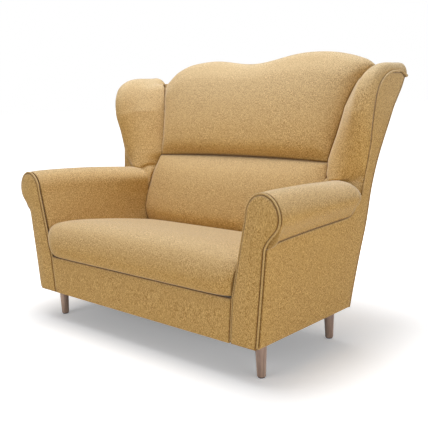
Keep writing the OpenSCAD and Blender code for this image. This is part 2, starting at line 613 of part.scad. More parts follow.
module side_board() {
    low = (rail_z - leg_h - cover_t * sin(side_flare)) / cos(side_flare);
    rear = [for (t = [0:0.2:1]) let (v = mix(low, board_v, t)) [rear_y(z_at(v, cover_t)), v]];
    color(plywood) placed() side_slab(cover_t, board_t, concat([[arm_front_y, low]], rear,
        [[arm_front_y, board_v]]));
}
module side_board_right() { side_board(); }
module side_board_left() { left() side_board(); }
module wing_board() {
    color(plywood) placed() side_slab(cover_t, board_t, concat(side_rear(cover_t, side_board_h, wing_h),
        wing_front(frame_d)));
}
module wing_board_right() { wing_board(); }
module wing_board_left() { left() wing_board(); }
module arm_rail() {
    color(timber) placed() on_side() translate([-rail_d - arm_rail_w, arm_front_y, board_v])
        cube([arm_rail_w, arm_l - arm_front_y, arm_rail_h]);
}
module arm_rail_right() { arm_rail(); }
module arm_rail_left() { left() arm_rail(); }

// Back frame: posts on the side boards, with a tail behind the rear rail, and three rails between them

post_tail = 70;
post_low = rail_z + post_tail;
post_high = wing_h - 12;
module back_post() {
    inner = frame_d + post_w;
    rear = [for (t = [0:0.0625:1]) let (v = along(mix(post_low, post_high, t))) [rear_y(z_at(v, frame_d)), v]];
    front = [for (t = [1:-0.0625:0]) let (v = along(mix(rail_top, post_high, t))) [frame_y(z_at(v, inner)), v]];
    seat = along(rail_top);
    color(timber) placed() side_slab(frame_d, post_w, concat([[base_d, along(post_low)]], rear, front,
        [[base_d, seat]]));
}
module back_post_right() { back_post(); }
module back_post_left() { left() back_post(); }

// Room that a flat rail leaves for the curve of the back
rail_gap = 1.2;
function lean(z) = atan((rear_y(z + 1) - rear_y(z - 1)) / 2);
// Rail of the back with its outline [x, w] in the plane that leans like the back at height z
module back_rail(z, outline) {
    color(timber) placed() intersection() {
        translate([0, frame_y(z) + rail_gap, z]) rotate([90 - lean(z), 0, 0]) mirror([0, 0, 1])
            linear_extrude(back_rail_t) polygon(outline);
        between(frame_d + post_w);
    }
}
function strip(h) = [[-half_w, -h / 2], [half_w, -h / 2], [half_w, h / 2], [-half_w, h / 2]];
lower_rail_h = 60;
middle_rail_h = 50;
lower_rail_z = seam_h + lower_rail_h / 2 + 13;
middle_rail_z = split_h - 4;
top_rail_z = hump_h - 116;
top_rail_low = top_rail_z - 70;
module back_lower_rail() { back_rail(lower_rail_z, strip(lower_rail_h)); }
module back_middle_rail() { back_rail(middle_rail_z, strip(middle_rail_h)); }
module back_top_rail() {
    c = cos(lean(top_rail_z));
    low = (top_rail_low - top_rail_z) / c;
    reach = side_x(wing_h);
    line = [for (u = across) let (z = top_z(u * top_half) - top_pad)
        [-u * upper_half(z), (z - top_rail_z) / c]];
    back_rail(top_rail_z, concat([[-reach, low], [reach, low], [reach, line[0][1]]], line,
        [[-reach, line[0][1]]]));
}

module back_webbing() {
    low = lower_rail_z - 25;
    high = hump_h - dip - top_pad - 12;
    reach = lower_half(split_h) - strap_w;
    steps = 20;
    levels = [for (k = [0:steps]) mix(low, high, k / steps)];
    color("#6b5a44") placed() for (k = [0:strap_count - 1])
        translate([mix(-reach, reach, k / (strap_count - 1)) - strap_w / 2, 0, 0]) rotate([90, 0, 90])
            linear_extrude(strap_w) polygon(concat([for (z = levels) [frame_y(z), z]],
                [for (j = [steps:-1:0]) [frame_y(levels[j]) - web_t, levels[j]]]));
}

// Springs: wire in flat bends between clips on the two rails, under a felt

spring_y0 = arm_front_y + rail_t - 10;
spring_y1 = rear_rail_y + 7;
spring_margin = 110;
spring_reach = seat_w / 2 - spring_margin;
spring_pitch = (spring_y1 - spring_y0) / spring_bends;
// Half the straight run of the wire at each end, which a clip holds
spring_end = max(4, (spring_w - spring_pitch) / 2);
function spring_x(k) = mix(-spring_reach, spring_reach, k / (spring_count - 1));
// Edge of the wire at a distance o from its middle line
function wire_edge(o) = let (rx = spring_w / 2 - spring_end, ry = spring_pitch / 2,
    s = spring_bends % 2 == 0 ? 1 : -1)
    concat([[-spring_end, spring_y0 - o]], [for (k = [0:spring_bends - 1]) let (m = k % 2 == 0 ? 1 : -1)
        for (a = [-90:36:90]) [m * (spring_end + (rx + m * o) * cos(a)),
            spring_y0 + spring_pitch * k + ry + (ry + m * o) * sin(a)]],
        [[s * spring_end, spring_y1 - s * o]]);
module seat_springs() {
    near = wire_edge(-wire_t / 2);
    far = wire_edge(wire_t / 2);
    color(steel) placed() for (k = [0:spring_count - 1]) translate([spring_x(k), 0, spring_z])
        linear_extrude(wire_t) polygon(concat(far, [for (i = [len(near) - 1:-1:0]) near[i]]));
}
module clip(y, s) {
    foot = 10;
    lip = 3;
    g = wire_t / 2 + 0.2;
    h = wire_t + clip_t + 0.2;
    translate([0, y, rail_top]) rotate([90, 0, 90]) linear_extrude(2 * spring_end, center = true)
        polygon([[-s * foot, 0], [s * (g + clip_t), 0], [s * (g + clip_t), h + clip_t], [-s * lip, h + clip_t],
            [-s * lip, h], [s * g, h], [s * g, clip_t], [-s * foot, clip_t]]);
}
module spring_clips() {
    color(steel) placed() for (k = [0:spring_count - 1]) translate([spring_x(k), 0, 0]) {
        clip(spring_y0, 1);
        clip(spring_y1, -1);
    }
}
module spring_felt() {
    edge = 6;
    side = 20;
    color("#6f6a63") placed() translate([side - seat_w / 2, spring_y0 + edge, felt_z])
        cube([seat_w - 2 * side, spring_y1 - spring_y0 - 2 * edge, felt_t]);
}

seat_cushion();
lower_back_cushion();
upper_back_cushion();
arm_pad_right();
arm_pad_left();
arm_facing_right();
arm_facing_left();
arm_piping_right();
arm_piping_left();
wing_pad_right();
wing_pad_left();
wing_piping_right();
wing_piping_left();
side_cover_right();
side_cover_left();
front_apron();
outside_back();
dust_cover();
leg_front_right();
leg_front_left();
leg_rear_right();
leg_rear_left();
glide_front_right();
glide_front_left();
glide_rear_right();
glide_rear_left();
leg_bolts();
leg_nuts();
front_rail();
rear_rail();
middle_brace();
corner_block_front_right();
corner_block_front_left();
corner_block_rear_right();
corner_block_rear_left();
side_board_right();
side_board_left();
arm_rail_right();
arm_rail_left();
arm_front_board_right();
arm_front_board_left();
wing_board_right();
wing_board_left();
back_post_right();
back_post_left();
back_top_rail();
back_middle_rail();
back_lower_rail();
back_webbing();
seat_springs();
spring_clips();
spring_felt();
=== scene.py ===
"""Wing-back two-seater sofa: upholstery, wood, floor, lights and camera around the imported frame."""
import math

import bpy
import numpy as np
from mathutils import Matrix, Vector
from mathutils.geometry import delaunay_2d_cdt


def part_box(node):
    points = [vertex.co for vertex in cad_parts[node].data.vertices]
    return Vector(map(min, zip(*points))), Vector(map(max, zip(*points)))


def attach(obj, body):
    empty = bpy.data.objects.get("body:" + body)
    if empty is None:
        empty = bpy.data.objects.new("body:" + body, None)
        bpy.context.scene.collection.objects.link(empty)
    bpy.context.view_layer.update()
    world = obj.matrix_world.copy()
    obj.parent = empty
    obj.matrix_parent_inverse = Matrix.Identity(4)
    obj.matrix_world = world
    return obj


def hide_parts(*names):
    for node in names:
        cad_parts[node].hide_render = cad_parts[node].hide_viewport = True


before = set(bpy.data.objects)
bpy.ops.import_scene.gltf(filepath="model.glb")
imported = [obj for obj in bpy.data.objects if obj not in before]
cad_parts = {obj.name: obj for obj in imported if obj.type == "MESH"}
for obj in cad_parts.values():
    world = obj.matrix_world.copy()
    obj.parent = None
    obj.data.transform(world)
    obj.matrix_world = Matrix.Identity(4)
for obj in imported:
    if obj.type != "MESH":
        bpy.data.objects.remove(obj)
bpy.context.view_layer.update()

# Sizes of the frame, in millimetres, with y = 0 at the arm fronts
HALF_W = 612.0
LEG_H = 129.0
SEAM_H = 287.0
FLARE = math.radians(6.6)
BASE_D = 568.0
ARM_L = 545.0
NECK_H = 468.0
SIDE_BOARD_H = 560.0
SPLIT_H = 684.0
SPLIT_BOW = 10.0
WING_H = 1008.0
HUMP_H = 1116.0
ROLL_MID = 566.0
COVER_T = 14.0
BOARD_T = 18.0
FACING_T = 14.0
ARM_FRONT_Y = 22.0
SEAT_D = 488.0
CLEAR = 0.3
INNER_D = COVER_T + BOARD_T + CLEAR
SEAT_W = 1018.0
ARM_LEAN = 0.23
BACK_NARROWING = 56.0
ROLL_OVER_FRONT, ROLL_OVER_BACK = 50.0, 28.0
ROLL_END = 60.0
RAKE, RAKE_CURVE, WAIST = 110.0, 175.0, 14.0
BACK_FRAME_T, WEB_T = 24.0, 1.5
HUMP_X, END_X = 250.0, 590.0
DIP, END_FALL = 29.0, 86.0
TOP_PAD = 54.0
# How far the shade of a seam reaches over a panel, and the number of sections across a cushion
SEAM_REACH = 3.0
STATIONS = 131

# Middle of the frame in y, from the front leg, which stands LEG_Y behind the arm fronts
LEG_Y = 86.0
low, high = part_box("leg_front_right")
Y_MID = LEG_Y - 500.0 * (low.y + high.y)


# -------------------- lines of the sofa
def mix(a, b, t):
    return a + (b - a) * t


def clamp01(t):
    return np.clip(t, 0.0, 1.0)


def smooth01(t):
    t = clamp01(t)
    return t * t * (3 - 2 * t)


def cubic(a, b, ta, tb, t):
    """Smooth line from a to b with the tangents ta and tb, at the share t."""
    return a * (1 + 2 * t) * (1 - t) ** 2 + ta * t * (1 - t) ** 2 + b * t * t * (3 - 2 * t) + tb * t * t * (t - 1)


def curve(rows, t):
    """Smooth line through rows of (t, value)."""
    x, y = np.array(rows, float).T
    m = np.gradient(y)
    m[0] = (y[1] - y[0]) / (x[1] - x[0])
    m[-1] = (y[-1] - y[-2]) / (x[-1] - x[-2])
    m[1:-1] = (y[2:] - y[:-2]) / (x[2:] - x[:-2])
    t = np.clip(t, x[0], x[-1])
    i = np.clip(np.searchsorted(x, t, "right") - 1, 0, len(x) - 2)
    w = x[i + 1] - x[i]
    return cubic(y[i], y[i + 1], m[i] * w, m[i + 1] * w, (t - x[i]) / w)


def side_x(z):
    """Outer plane of the sides."""
    return HALF_W + math.tan(FLARE) * (z - LEG_H)


def rear_y(z):
    """Rear edge of the sides, which leans back and has a waist at the split."""
    s, w = (z - LEG_H) / 1000, (z - SPLIT_H) / 130
    return BASE_D + RAKE * s + RAKE_CURVE * s * s - WAIST * np.exp(-w * w)


def inner_front(z):
    """Inside of the arm at its front."""
    return SEAT_W / 2 + ARM_LEAN * (z - SEAM_H) * np.where(z < SEAM_H, 0.4, 1)


def inner_back(z):
    """Inside of the arm where it meets the back."""
    return SEAT_W / 2 - BACK_NARROWING + curve([[0, 0], [115, 26], [195, 31], [235, 29], [285, 21], [335, 9],
                                                [395, -6]], z - SEAM_H)


def arm_inner(y, z):
    return mix(inner_front(z), inner_back(z), clamp01(y / ARM_L) ** 2)


def arm_outer(y):
    """Outermost line of the arm's roll."""
    return side_x(ROLL_MID) + mix(ROLL_OVER_FRONT, ROLL_OVER_BACK, clamp01(y / ARM_L)) - 25 * roll_end(y)


def arm_top(y):
    return curve([[0, 645], [60, 647.5], [130, 646.5], [230, 643], [320, 638.5], [430, 630], [545, 620]], y)


def roll_end(y):
    """0 along the arm, rising to 1 round its rear end."""
    return 1 - np.sqrt(1 - clamp01((y - ARM_L + ROLL_END) / ROLL_END) ** 2)


def neck_z(y):
    """Height where the roll's underside meets the side."""
    return mix(NECK_H, 497, clamp01((y - 23) / (ARM_L - 23)) ** 0.35) + 58 * roll_end(y)


def cushion_y(z):
    """Rear of the back cushions, before the webbing and the frame."""
    return rear_y(z) - BACK_FRAME_T - WEB_T - 3 * CLEAR


def top_z(x):
    """Top line of the back: a dip between two humps, and a fall to the ends."""
    a = abs(x)
    dip = DIP * (1 + np.cos(np.pi * np.minimum(a, HUMP_X) / HUMP_X)) / 2
    fall = END_FALL * np.maximum((a - HUMP_X) / (END_X - HUMP_X), 0) ** 2.2
    return HUMP_H - dip - fall


def slump(x):
    """How much lower the soft top of the back lies than its line in the frame."""
    return 5 - 0.014 * x + 27 * smooth01((-x - 360) / 160)


def widen(z):
    """How much further out the soft edge of the back meets the wing than the line of the hard frame."""
    return curve([[500, 0], [570, 12], [640, 27], [684, 26], [740, 28], [790, 31], [850, 31], [910, 30], [940, 31],
                  [960, 33.5], [980, 38], [1000, 44], [1020, 60], [1070, 66]], z)


def deepen(z):
    """How much deeper that edge lies."""
    return curve([[500, 0], [570, 12], [640, 25], [684, 24], [740, 27], [790, 30], [850, 29], [910, 28.5],
                  [940, 29], [960, 31.5], [980, 35.5], [1000, 41.5], [1020, 51], [1070, 54]], z)


def lower_half(z):
    """Half width of the back below the split."""
    return inner_back(z) - CLEAR + widen(z)


def upper_half(z):
    """Half width of the back above the split."""
    return (inner_back(SPLIT_H) - CLEAR + curve([[0, 0], [180, 28], [335, 76], [380, 116]], z - SPLIT_H)
            + widen(z))


def split_z(u):
    """Level seam of the back at the share u of its half width."""
    return SPLIT_H - SPLIT_BOW * u * u


def lower_edge_y(z):
    """Front of the back at its sides, below the split."""
    return cushion_y(SPLIT_H) - 8 - curve([[-300, 107], [-262, 111], [-212, 100], [-164, 85], [-111, 68], [-62, 48],
                                           [-22, 20], [0, 0]], z - SPLIT_H)


def upper_edge_y(z):
    """Front of the back at its sides, above the split."""
    return cushion_y(z) - curve([[0, 8], [38, 24], [118, 38], [180, 44], [335, 57], [400, 50]], z - SPLIT_H)


def seat_rear(u):
    """Rear edge of the seat."""
    return SEAT_D + 48 * abs(u) ** 3


# -------------------- mesh helpers
def new_object(name, verts, faces, mirrored=False):
    """Mesh object from points in millimetres with y = 0 at the arm fronts."""
    co = np.array(verts, float).reshape(-1, 3) - (0, Y_MID, 0)
    co /= 1000
    if mirrored:
        co[:, 0] *= -1
        faces = [f[::-1] for f in faces]
    mesh = bpy.data.meshes.new(name)
    mesh.from_pydata(co.tolist(), [], [list(map(int, f)) for f in faces])
    mesh.validate()
    mesh.polygons.foreach_set("use_smooth", [True] * len(mesh.polygons))
    mesh.update()
    obj = bpy.data.objects.new(name, mesh)
    bpy.context.scene.collection.objects.link(obj)
    return obj


def loft(rings):
    """Points and outward faces of a solid through rings, with fans at the ends."""
    rings = np.array(rings, float)
    m, n, _ = rings.shape
    i, j = np.meshgrid(np.arange(m - 1), np.arange(n), indexing="ij")
    k = (j + 1) % n
    faces = np.stack([i * n + k, i * n + n + k, i * n + n + j, i * n + j], -1).reshape(-1, 4).tolist()
    last = (m - 1) * n
    faces += [[(j + 1) % n, j, m * n] for j in range(n)]
    faces += [[last + j, last + (j + 1) % n, m * n + 1] for j in range(n)]
    return np.vstack([rings.reshape(-1, 3), rings[0].mean(0), rings[-1].mean(0)]), faces


def dense(ring, step, counts=None):
    """Closed ring with every side cut into parts of about step; counts keeps the cuts alike from ring to ring."""
    ring = np.array(ring, float)
    ahead = np.roll(ring, -1, 0)
    if counts is None:
        counts = np.maximum(1, np.round(np.linalg.norm(ahead - ring, axis=1) / step)).astype(int)
    parts = [a + (b - a) * np.arange(c)[:, None] / c for a, b, c in zip(ring, ahead, counts)]
    return np.vstack(parts), counts


def soften(rings, passes, keep=None):
    """Rings with their corners rounded by averaging along each ring; keep is 1 where a point stays."""
    for _ in range(passes):
        mean = (np.roll(rings, 1, 1) + np.roll(rings, -1, 1)) / 2
        step = 0.5 if keep is None else 0.5 * (1 - keep)[None, :, None]
        rings = rings + step * (mean - rings)
    return rings


def spread(n):
    """Shares from -1 to 1, closer together towards both ends."""
    v = np.linspace(-1, 1, n)
    return 1.5 * v - 0.5 * v ** 3


def averager(obj):
    """Function that gives the mean of the neighbours' values for every vertex."""
    mesh = obj.data
    count = len(mesh.vertices)
    edges = np.empty(len(mesh.edges) * 2, int)
    mesh.edges.foreach_get("vertices", edges)
    a, b = edges.reshape(-1, 2).T
    degree = np.maximum(np.bincount(a, minlength=count) + np.bincount(b, minlength=count), 1)
    return lambda v: np.stack([(np.bincount(a, v[b, c], count) + np.bincount(b, v[a, c], count)) / degree
                               for c in range(v.shape[1])], 1)


def laplacian(obj, passes, weight):
    """Evens out the surface; weight is 0 where a vertex stays."""
    mean, co = averager(obj), points_of(obj)
    for k in range(passes):
        co = co + (0.5 if k % 2 == 0 else -0.49) * (mean(co) - co) * weight[:, None]
    set_points(obj, co)


def points_of(obj):
    """Points of an object in millimetres with y = 0 at the arm fronts."""
    co = np.empty(len(obj.data.vertices) * 3)
    obj.data.vertices.foreach_get("co", co)
    return co.reshape(-1, 3) * 1000 + (0, Y_MID, 0)


def set_points(obj, co):
    obj.data.vertices.foreach_set("co", ((co - (0, Y_MID, 0)) / 1000).ravel())
    obj.data.update()


CLOTH_PRESSURE, CLOTH_FRAMES, EVEN_PASSES = 4.0, 20, 160


def inflate(obj, free, cap):
    """Cloth under pressure: free is 1 where a point may move fully, 0 where it is sewn down, and cap limits softly
    how far it moves."""
    start = points_of(obj)
    group = obj.vertex_groups.new(name="sewn")
    for w in np.unique(np.round(free, 1)):
        if w < 1:
            chosen = np.nonzero(np.round(free, 1) == w)[0].tolist()
            group.add(chosen, float(1 - w), "REPLACE")
    cloth = obj.modifiers.new("Cloth", "CLOTH")
    s = cloth.settings
    s.quality = 5
    s.mass = 0.3
    s.tension_stiffness = s.compression_stiffness = 15
    s.shear_stiffness = 5
    s.bending_stiffness = 0.5
    s.use_pressure = True
    s.uniform_pressure_force = CLOTH_PRESSURE
    s.effector_weights.gravity = 0
    s.vertex_group_mass = group.name
    cloth.collision_settings.use_collision = False
    cloth.collision_settings.use_self_collision = False
    cloth.point_cache.frame_start, cloth.point_cache.frame_end = 1, CLOTH_FRAMES
    for f in range(1, CLOTH_FRAMES + 1):
        bpy.context.scene.frame_set(f)
    moved = points_of(obj.evaluated_get(bpy.context.evaluated_depsgraph_get())) - start
    obj.modifiers.remove(cloth)
    obj.vertex_groups.remove(group)
    bpy.context.scene.frame_set(1)
    moved *= (free * cap / (np.linalg.norm(moved, axis=1) + cap))[:, None]
    mean = averager(obj)
    for _ in range(EVEN_PASSES):
        moved = mean(moved) * np.minimum(free * 4, 1)[:, None]
    set_points(obj, start + moved)


CORD_SIDES = 12


def tube(name, path, radius, mirrored):
    """Round cord along a path of points."""
    path = np.array(path, float)
    way = np.gradient(path, axis=0)
    way /= np.linalg.norm(way, axis=1)[:, None]
    up = np.cross(way, [0.2, 1, 0.1])
    up /= np.linalg.norm(up, axis=1)[:, None]
    side = np.cross(way, up)
    angles = np.arange(CORD_SIDES) * 2 * np.pi / CORD_SIDES
    rings = path[:, None] + radius * (np.cos(angles)[None, :, None] * up[:, None]
                                      + np.sin(angles)[None, :, None] * side[:, None])
    return new_object(name, *loft(rings), mirrored)


def resample(points, step, closed=False):
    """The line through points at even steps along it, straight between the points."""
    p = np.array(points, float)
    if closed:
        p = np.vstack([p, p[:1]])
    length = np.concatenate([[0], np.cumsum(np.linalg.norm(np.diff(p, axis=0), axis=1))])
    n = max(2, int(round(length[-1] / step)) + 1)
    at = np.linspace(0, length[-1], n)
    out = np.stack([np.interp(at, length, p[:, k]) for k in range(p.shape[1])], 1)
    return out[:-1] if closed else out


def evened(line, passes):
    """Open line with its corners rounded and its ends kept."""
    line = np.array(line, float)
    for _ in range(passes):
        line[1:-1] += 0.5 * ((line[:-2] + line[2:]) / 2 - line[1:-1])
    return line


def to_outline(points, outline):
    """Distance of each 2D point to a closed outline."""
    a, b = outline, np.roll(outline, -1, 0)
    best = np.full(len(points), 1e9)
    for p, q in zip(a, b):
        d = q - p
        t = clamp01(((points - p) @ d) / max(d @ d, 1e-9))
        best = np.minimum(best, np.linalg.norm(points - p - t[:, None] * d, axis=1))
    return best


def is_inside(points, outline):
    x, y = points.T
    inside = np.zeros(len(points), bool)
    for (x0, y0), (x1, y1) in zip(outline, np.roll(outline, -1, 0)):
        crosses = (y0 > y) != (y1 > y)
        with np.errstate(divide="ignore", invalid="ignore"):
            at = x0 + (y - y0) * (x1 - x0) / (y1 - y0)
        inside ^= crosses & (x < at)
    return inside


def panel(name, outline, place, thick, edge, puff, step=9.0, mirrored=False, sewn=None):
    """Upholstered panel. outline is closed, in its own (s, t); place(s, t, h) gives the points at height h over its
    back; edge is the radius of its rounded rim, and puff is how much higher its middle stands; sewn(s, t) is 1
    where the rim is sewn to a neighbour."""
    outline = resample(outline, step * 0.5, closed=True)
    way = np.roll(outline, -1, 0) - np.roll(outline, 1, 0)
    way /= np.linalg.norm(way, axis=1)[:, None]
    area = 0.5 * np.sum(outline[:, 0] * np.roll(outline[:, 1], -1) - np.roll(outline[:, 0], -1) * outline[:, 1])
    inward = np.stack([-way[:, 1], way[:, 0]], 1) * (1 if area > 0 else -1)
    points = [outline]
    for share in (0.08, 0.25, 0.55, 1.0):
        ring = outline + inward * edge * share
        near = to_outline(ring, outline)
        points.append(ring[(near > 0.93 * edge * share) & is_inside(ring, outline)])
    low, high = outline.min(0), outline.max(0)
    s, t = np.meshgrid(np.arange(low[0], high[0], step), np.arange(low[1], high[1], step))
    inner = np.stack([s.ravel(), t.ravel()], 1)
    inner = inner[is_inside(inner, outline)]
    points.append(inner[to_outline(inner, outline) > edge + 0.6 * step])
    flat = np.vstack(points)
    n = len(outline)
    found = delaunay_2d_cdt([Vector(p) for p in flat], [(k, (k + 1) % n) for k in range(n)], [], 1, 1e-4)
    flat = np.array([tuple(p) for p in found[0]])
    tri = [list(f) for f in found[2]]
    rim = np.array([any(i < n for i in ids) for ids in found[3]])
    d = np.where(rim, 0, to_outline(flat, outline))
    f = clamp01(d / edge)
    height = thick - edge + edge * np.sqrt(np.maximum(1 - (1 - f) ** 2, 0)) + puff * (1 - np.exp(-d / 60))
    front = place(flat[:, 0], flat[:, 1], height)
    back = place(flat[:, 0], flat[:, 1], np.zeros(len(flat)))
    count = len(flat)
    first = np.array([f[:3] for f in tri[:200]])
    e1, e2 = front[first[:, 1]] - front[first[:, 0]], front[first[:, 2]] - front[first[:, 0]]
    outward = np.mean(np.sum(np.cross(e1, e2) * (front - back).mean(0), 1)) > 0
    faces = [f if outward else f[::-1] for f in tri]
    faces += [[v + count for v in (f[::-1] if outward else f)] for f in tri]
    edges = dict.fromkeys(pair for f in faces[:len(tri)] for pair in zip(f, f[1:] + f[:1]))
    faces += [[b, a, a + count, b + count] for a, b in edges if (b, a) not in edges]
    obj = new_object(name, np.vstack([front, back]), faces, mirrored)
    # The panel's rim gets painted seam shade, scaled by sewn
    shade_seams(obj, np.tile(np.exp(-(d / SEAM_REACH) ** 2) * (1 if sewn is None else sewn(flat[:, 0], flat[:, 1])), 2))
    return obj


def shade_seams(obj, depth):
    """Keeps how deep in a seam each point lies, 0 to 1; the cloth is painted darker there, as painted shade in the
    seam's crease.
    """
    seam = obj.data.attributes.new("seam", "FLOAT", "POINT")
    seam.data.foreach_set("value", np.broadcast_to(depth, len(obj.data.vertices)).astype(np.float32))


def shade_seam_ends(obj, half, level, bow=0.0):
    """Painted seam shade where a cushion meets its neighbours at the sides and at a level seam, lower by bow at its
    ends.
    """
    p = points_of(obj)
    near = np.maximum(half(p[:, 1], p[:, 2]) - abs(p[:, 0]), 0)
    over = p[:, 2] - level + bow * (p[:, 0] / 470) ** 2
    shade_seams(obj, np.maximum(np.exp(-(near / 5) ** 2), np.exp(-(over / 5) ** 2)))


def off_sides(p, half):
    """1 along a cushion, falling to 0 at its sewn ends."""
    return smooth01((0.985 - abs(p[:, 0]) / half(p[:, 1], p[:, 2])) / 0.05)


def both(make, name):
    """Makes the right and the left piece."""
    make(name + "_right", False, "right")
    make(name + "_left", True, "left")


def finish_piece(obj, material, nodes):
    obj.data.materials.clear()
    obj.data.materials.append(material)
    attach(obj, "root")
    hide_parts(*nodes)


# -------------------- materials
class Tree:
    """Short ways to build a material's nodes."""

    def __init__(self, name):
        self.material = bpy.data.materials.new(name)
        self.material.use_nodes = True
        self.nodes = self.material.node_tree.nodes
        self.links = self.material.node_tree.links
        self.shader = self.nodes["Principled BSDF"]
        coordinate = self.nodes.new("ShaderNodeTexCoord")
        self.place = coordinate.outputs["Object"]
        self.normal = coordinate.outputs["Normal"]

    def put(self, socket, value):
        if isinstance(value, bpy.types.NodeSocket):
            self.links.new(value, socket)
        elif value is not None:
            socket.default_value = value

    def math(self, kind, a, b=None):
        node = self.nodes.new("ShaderNodeMath")
        node.operation = kind
        for k, v in enumerate((a, b)):
            self.put(node.inputs[k], v)
        return node.outputs[0]

    def vector(self, kind, a, b):
        node = self.nodes.new("ShaderNodeVectorMath")
        node.operation = kind
        self.put(node.inputs[0], a)
        self.put(node.inputs[1], b)
        return node.outputs[0]

    def split(self, value):
        node = self.nodes.new("ShaderNodeSeparateXYZ")
        self.put(node.inputs[0], value)
        return node.outputs

    def join(self, x, y, z):
        node = self.nodes.new("ShaderNodeCombineXYZ")
        for k, v in enumerate((x, y, z)):
            self.put(node.inputs[k], v)
        return node.outputs[0]

    def noise(self, place, scale, detail, rough=0.5):
        node = self.nodes.new("ShaderNodeTexNoise")
        self.put(node.inputs["Vector"], place)
        node.inputs["Scale"].default_value = scale
        node.inputs["Detail"].default_value = detail
        node.inputs["Roughness"].default_value = rough
        return node.outputs[0]

    def ramp(self, value, low, high, to_low=0.0, to_high=1.0):
        node = self.nodes.new("ShaderNodeMapRange")
        node.interpolation_type = "SMOOTHSTEP"
        self.put(node.inputs["Value"], value)
        for k, v in (("From Min", low), ("From Max", high), ("To Min", to_low), ("To Max", to_high)):
            node.inputs[k].default_value = v
        return node.outputs[0]

    def colours(self, share, a, b):
        node = self.nodes.new("ShaderNodeMix")
        node.data_type = "RGBA"
        self.put(node.inputs["Factor"], share)
        self.put(node.inputs["A"], a)
        self.put(node.inputs["B"], b)
        return node.outputs["Result"]

    def blend(self, share, a, b):
        node = self.nodes.new("ShaderNodeMix")
        self.put(node.inputs["Factor"], share)
        self.put(node.inputs[2], a)
        self.put(node.inputs[3], b)
        return node.outputs[0]

    def bump(self, height, distance, strength):
        node = self.nodes.new("ShaderNodeBump")
        node.inputs["Strength"].default_value = strength
        node.inputs["Distance"].default_value = distance
        self.put(node.inputs["Height"], height)
        return node.outputs[0]

    def finish(self, colour, rough, normal, **plain):
        self.put(self.shader.inputs["Base Color"], colour)
        self.put(self.shader.inputs["Roughness"], rough)
        self.put(self.shader.inputs["Normal"], normal)
        for key, value in plain.items():
            self.shader.inputs[key.replace("_", " ")].default_value = value
        return self.material


def srgb(r, g, b):
    return tuple((c / 255 / 12.92 if c <= 10 else ((c / 255 + 0.055) / 1.055) ** 2.4) for c in (r, g, b)) + (1.0,)


# Dark brown mixed into the cloth along seams, as painted shade in the creases between pieces
SEAM_SHADE_COLOUR = srgb(84, 46, 2)
# Paler, greyer colours of the cloth, used as painted highlight where light from above falls
PAINTED_HIGHLIGHT_LIGHT, PAINTED_HIGHLIGHT_MID, PAINTED_HIGHLIGHT_DARK = srgb(228, 209, 176), srgb(202, 184, 152), srgb(168, 150, 116)


def fabric_material(name, light, mid, dark, yarn=1.0, sheen=0.6):
    """Slubby woven cloth: short thick and thin yarns that run up the upright faces and back over the flat ones;
    upward faces and high parts are mixed towards paler colours as painted highlight.
    """
    t = Tree(name)
    tilt, high = t.split(t.normal)[2], t.split(t.place)[2]
    flat = t.ramp(t.math("ABSOLUTE", tilt), 0.5, 0.85)

    def yarns(across, along, seed, detail):
        shift = (seed * 0.37, seed * 0.19, seed * 0.53)
        up = t.vector("ADD", t.vector("MULTIPLY", t.place, (across, across, along)), shift)
        back = t.vector("ADD", t.vector("MULTIPLY", t.place, (across, along, across)), shift)
        return t.blend(flat, t.noise(up, 1.0, detail), t.noise(back, 1.0, detail))

    slub = yarns(440 / yarn, 150 / yarn, 1, 1.0)
    pick = yarns(560 / yarn, 420 / yarn, 2, 1.0)
    fine = yarns(1300 / yarn, 900 / yarn, 3, 1.0)
    broad = t.noise(t.place, 9.0, 2.0)
    weave = t.math("ADD", t.math("MULTIPLY", slub, 0.36), t.math("ADD", t.math("MULTIPLY", pick, 0.36),
                                                                  t.math("MULTIPLY", fine, 0.28)))
    tone = t.ramp(weave, 0.42, 0.58)
    # Painted highlight: upward-facing and high parts of the cloth are mixed towards the paler colours
    painted_highlight = t.math("ADD", t.ramp(tilt, -0.15, 0.6, 0.0, 0.3), t.ramp(tilt, 0.5, 1.0, 0.0, 0.2))
    painted_highlight = t.math("ADD", painted_highlight, t.ramp(high, 0.72, 1.04, 0.0, 0.24))
    colour = t.colours(painted_highlight, t.colours(tone, dark, light), t.colours(tone, PAINTED_HIGHLIGHT_DARK, PAINTED_HIGHLIGHT_LIGHT))
    colour = t.colours(t.ramp(broad, 0.3, 0.7, 0.05, 0.3), colour, t.colours(painted_highlight, mid, PAINTED_HIGHLIGHT_MID))
    # Painted shade in the seams: the cloth is mixed towards dark brown by the seam attribute
    seam = t.nodes.new("ShaderNodeAttribute")
    seam.attribute_name = "seam"
    colour = t.colours(t.math("MULTIPLY", seam.outputs["Fac"], 0.72), colour, SEAM_SHADE_COLOUR)
    height = t.math("ADD", t.math("MULTIPLY", weave, 0.7), t.math("MULTIPLY", fine, 0.3))
    rough = t.ramp(tone, 0.0, 1.0, 0.95, 0.85)
    return t.finish(colour, rough, t.bump(height, 0.0012, 0.6), Sheen_Weight=sheen, Sheen_Roughness=0.3,
                    Sheen_Tint=(1.0, 0.94, 0.8, 1.0), Specular_IOR_Level=0.2)


fabric = fabric_material("fabric", srgb(216, 177, 110), srgb(186, 146, 80), srgb(140, 100, 44))
# The piping's cloth: the sofa's own fabric colours painted lighter, as painted highlight along the round cord, with
# less sheen
cord_cloth_painted_highlight = fabric_material("piping_fabric_painted_highlight", srgb(212, 177, 118), srgb(194, 156, 96), srgb(150, 112, 58), 0.6, 0.2)


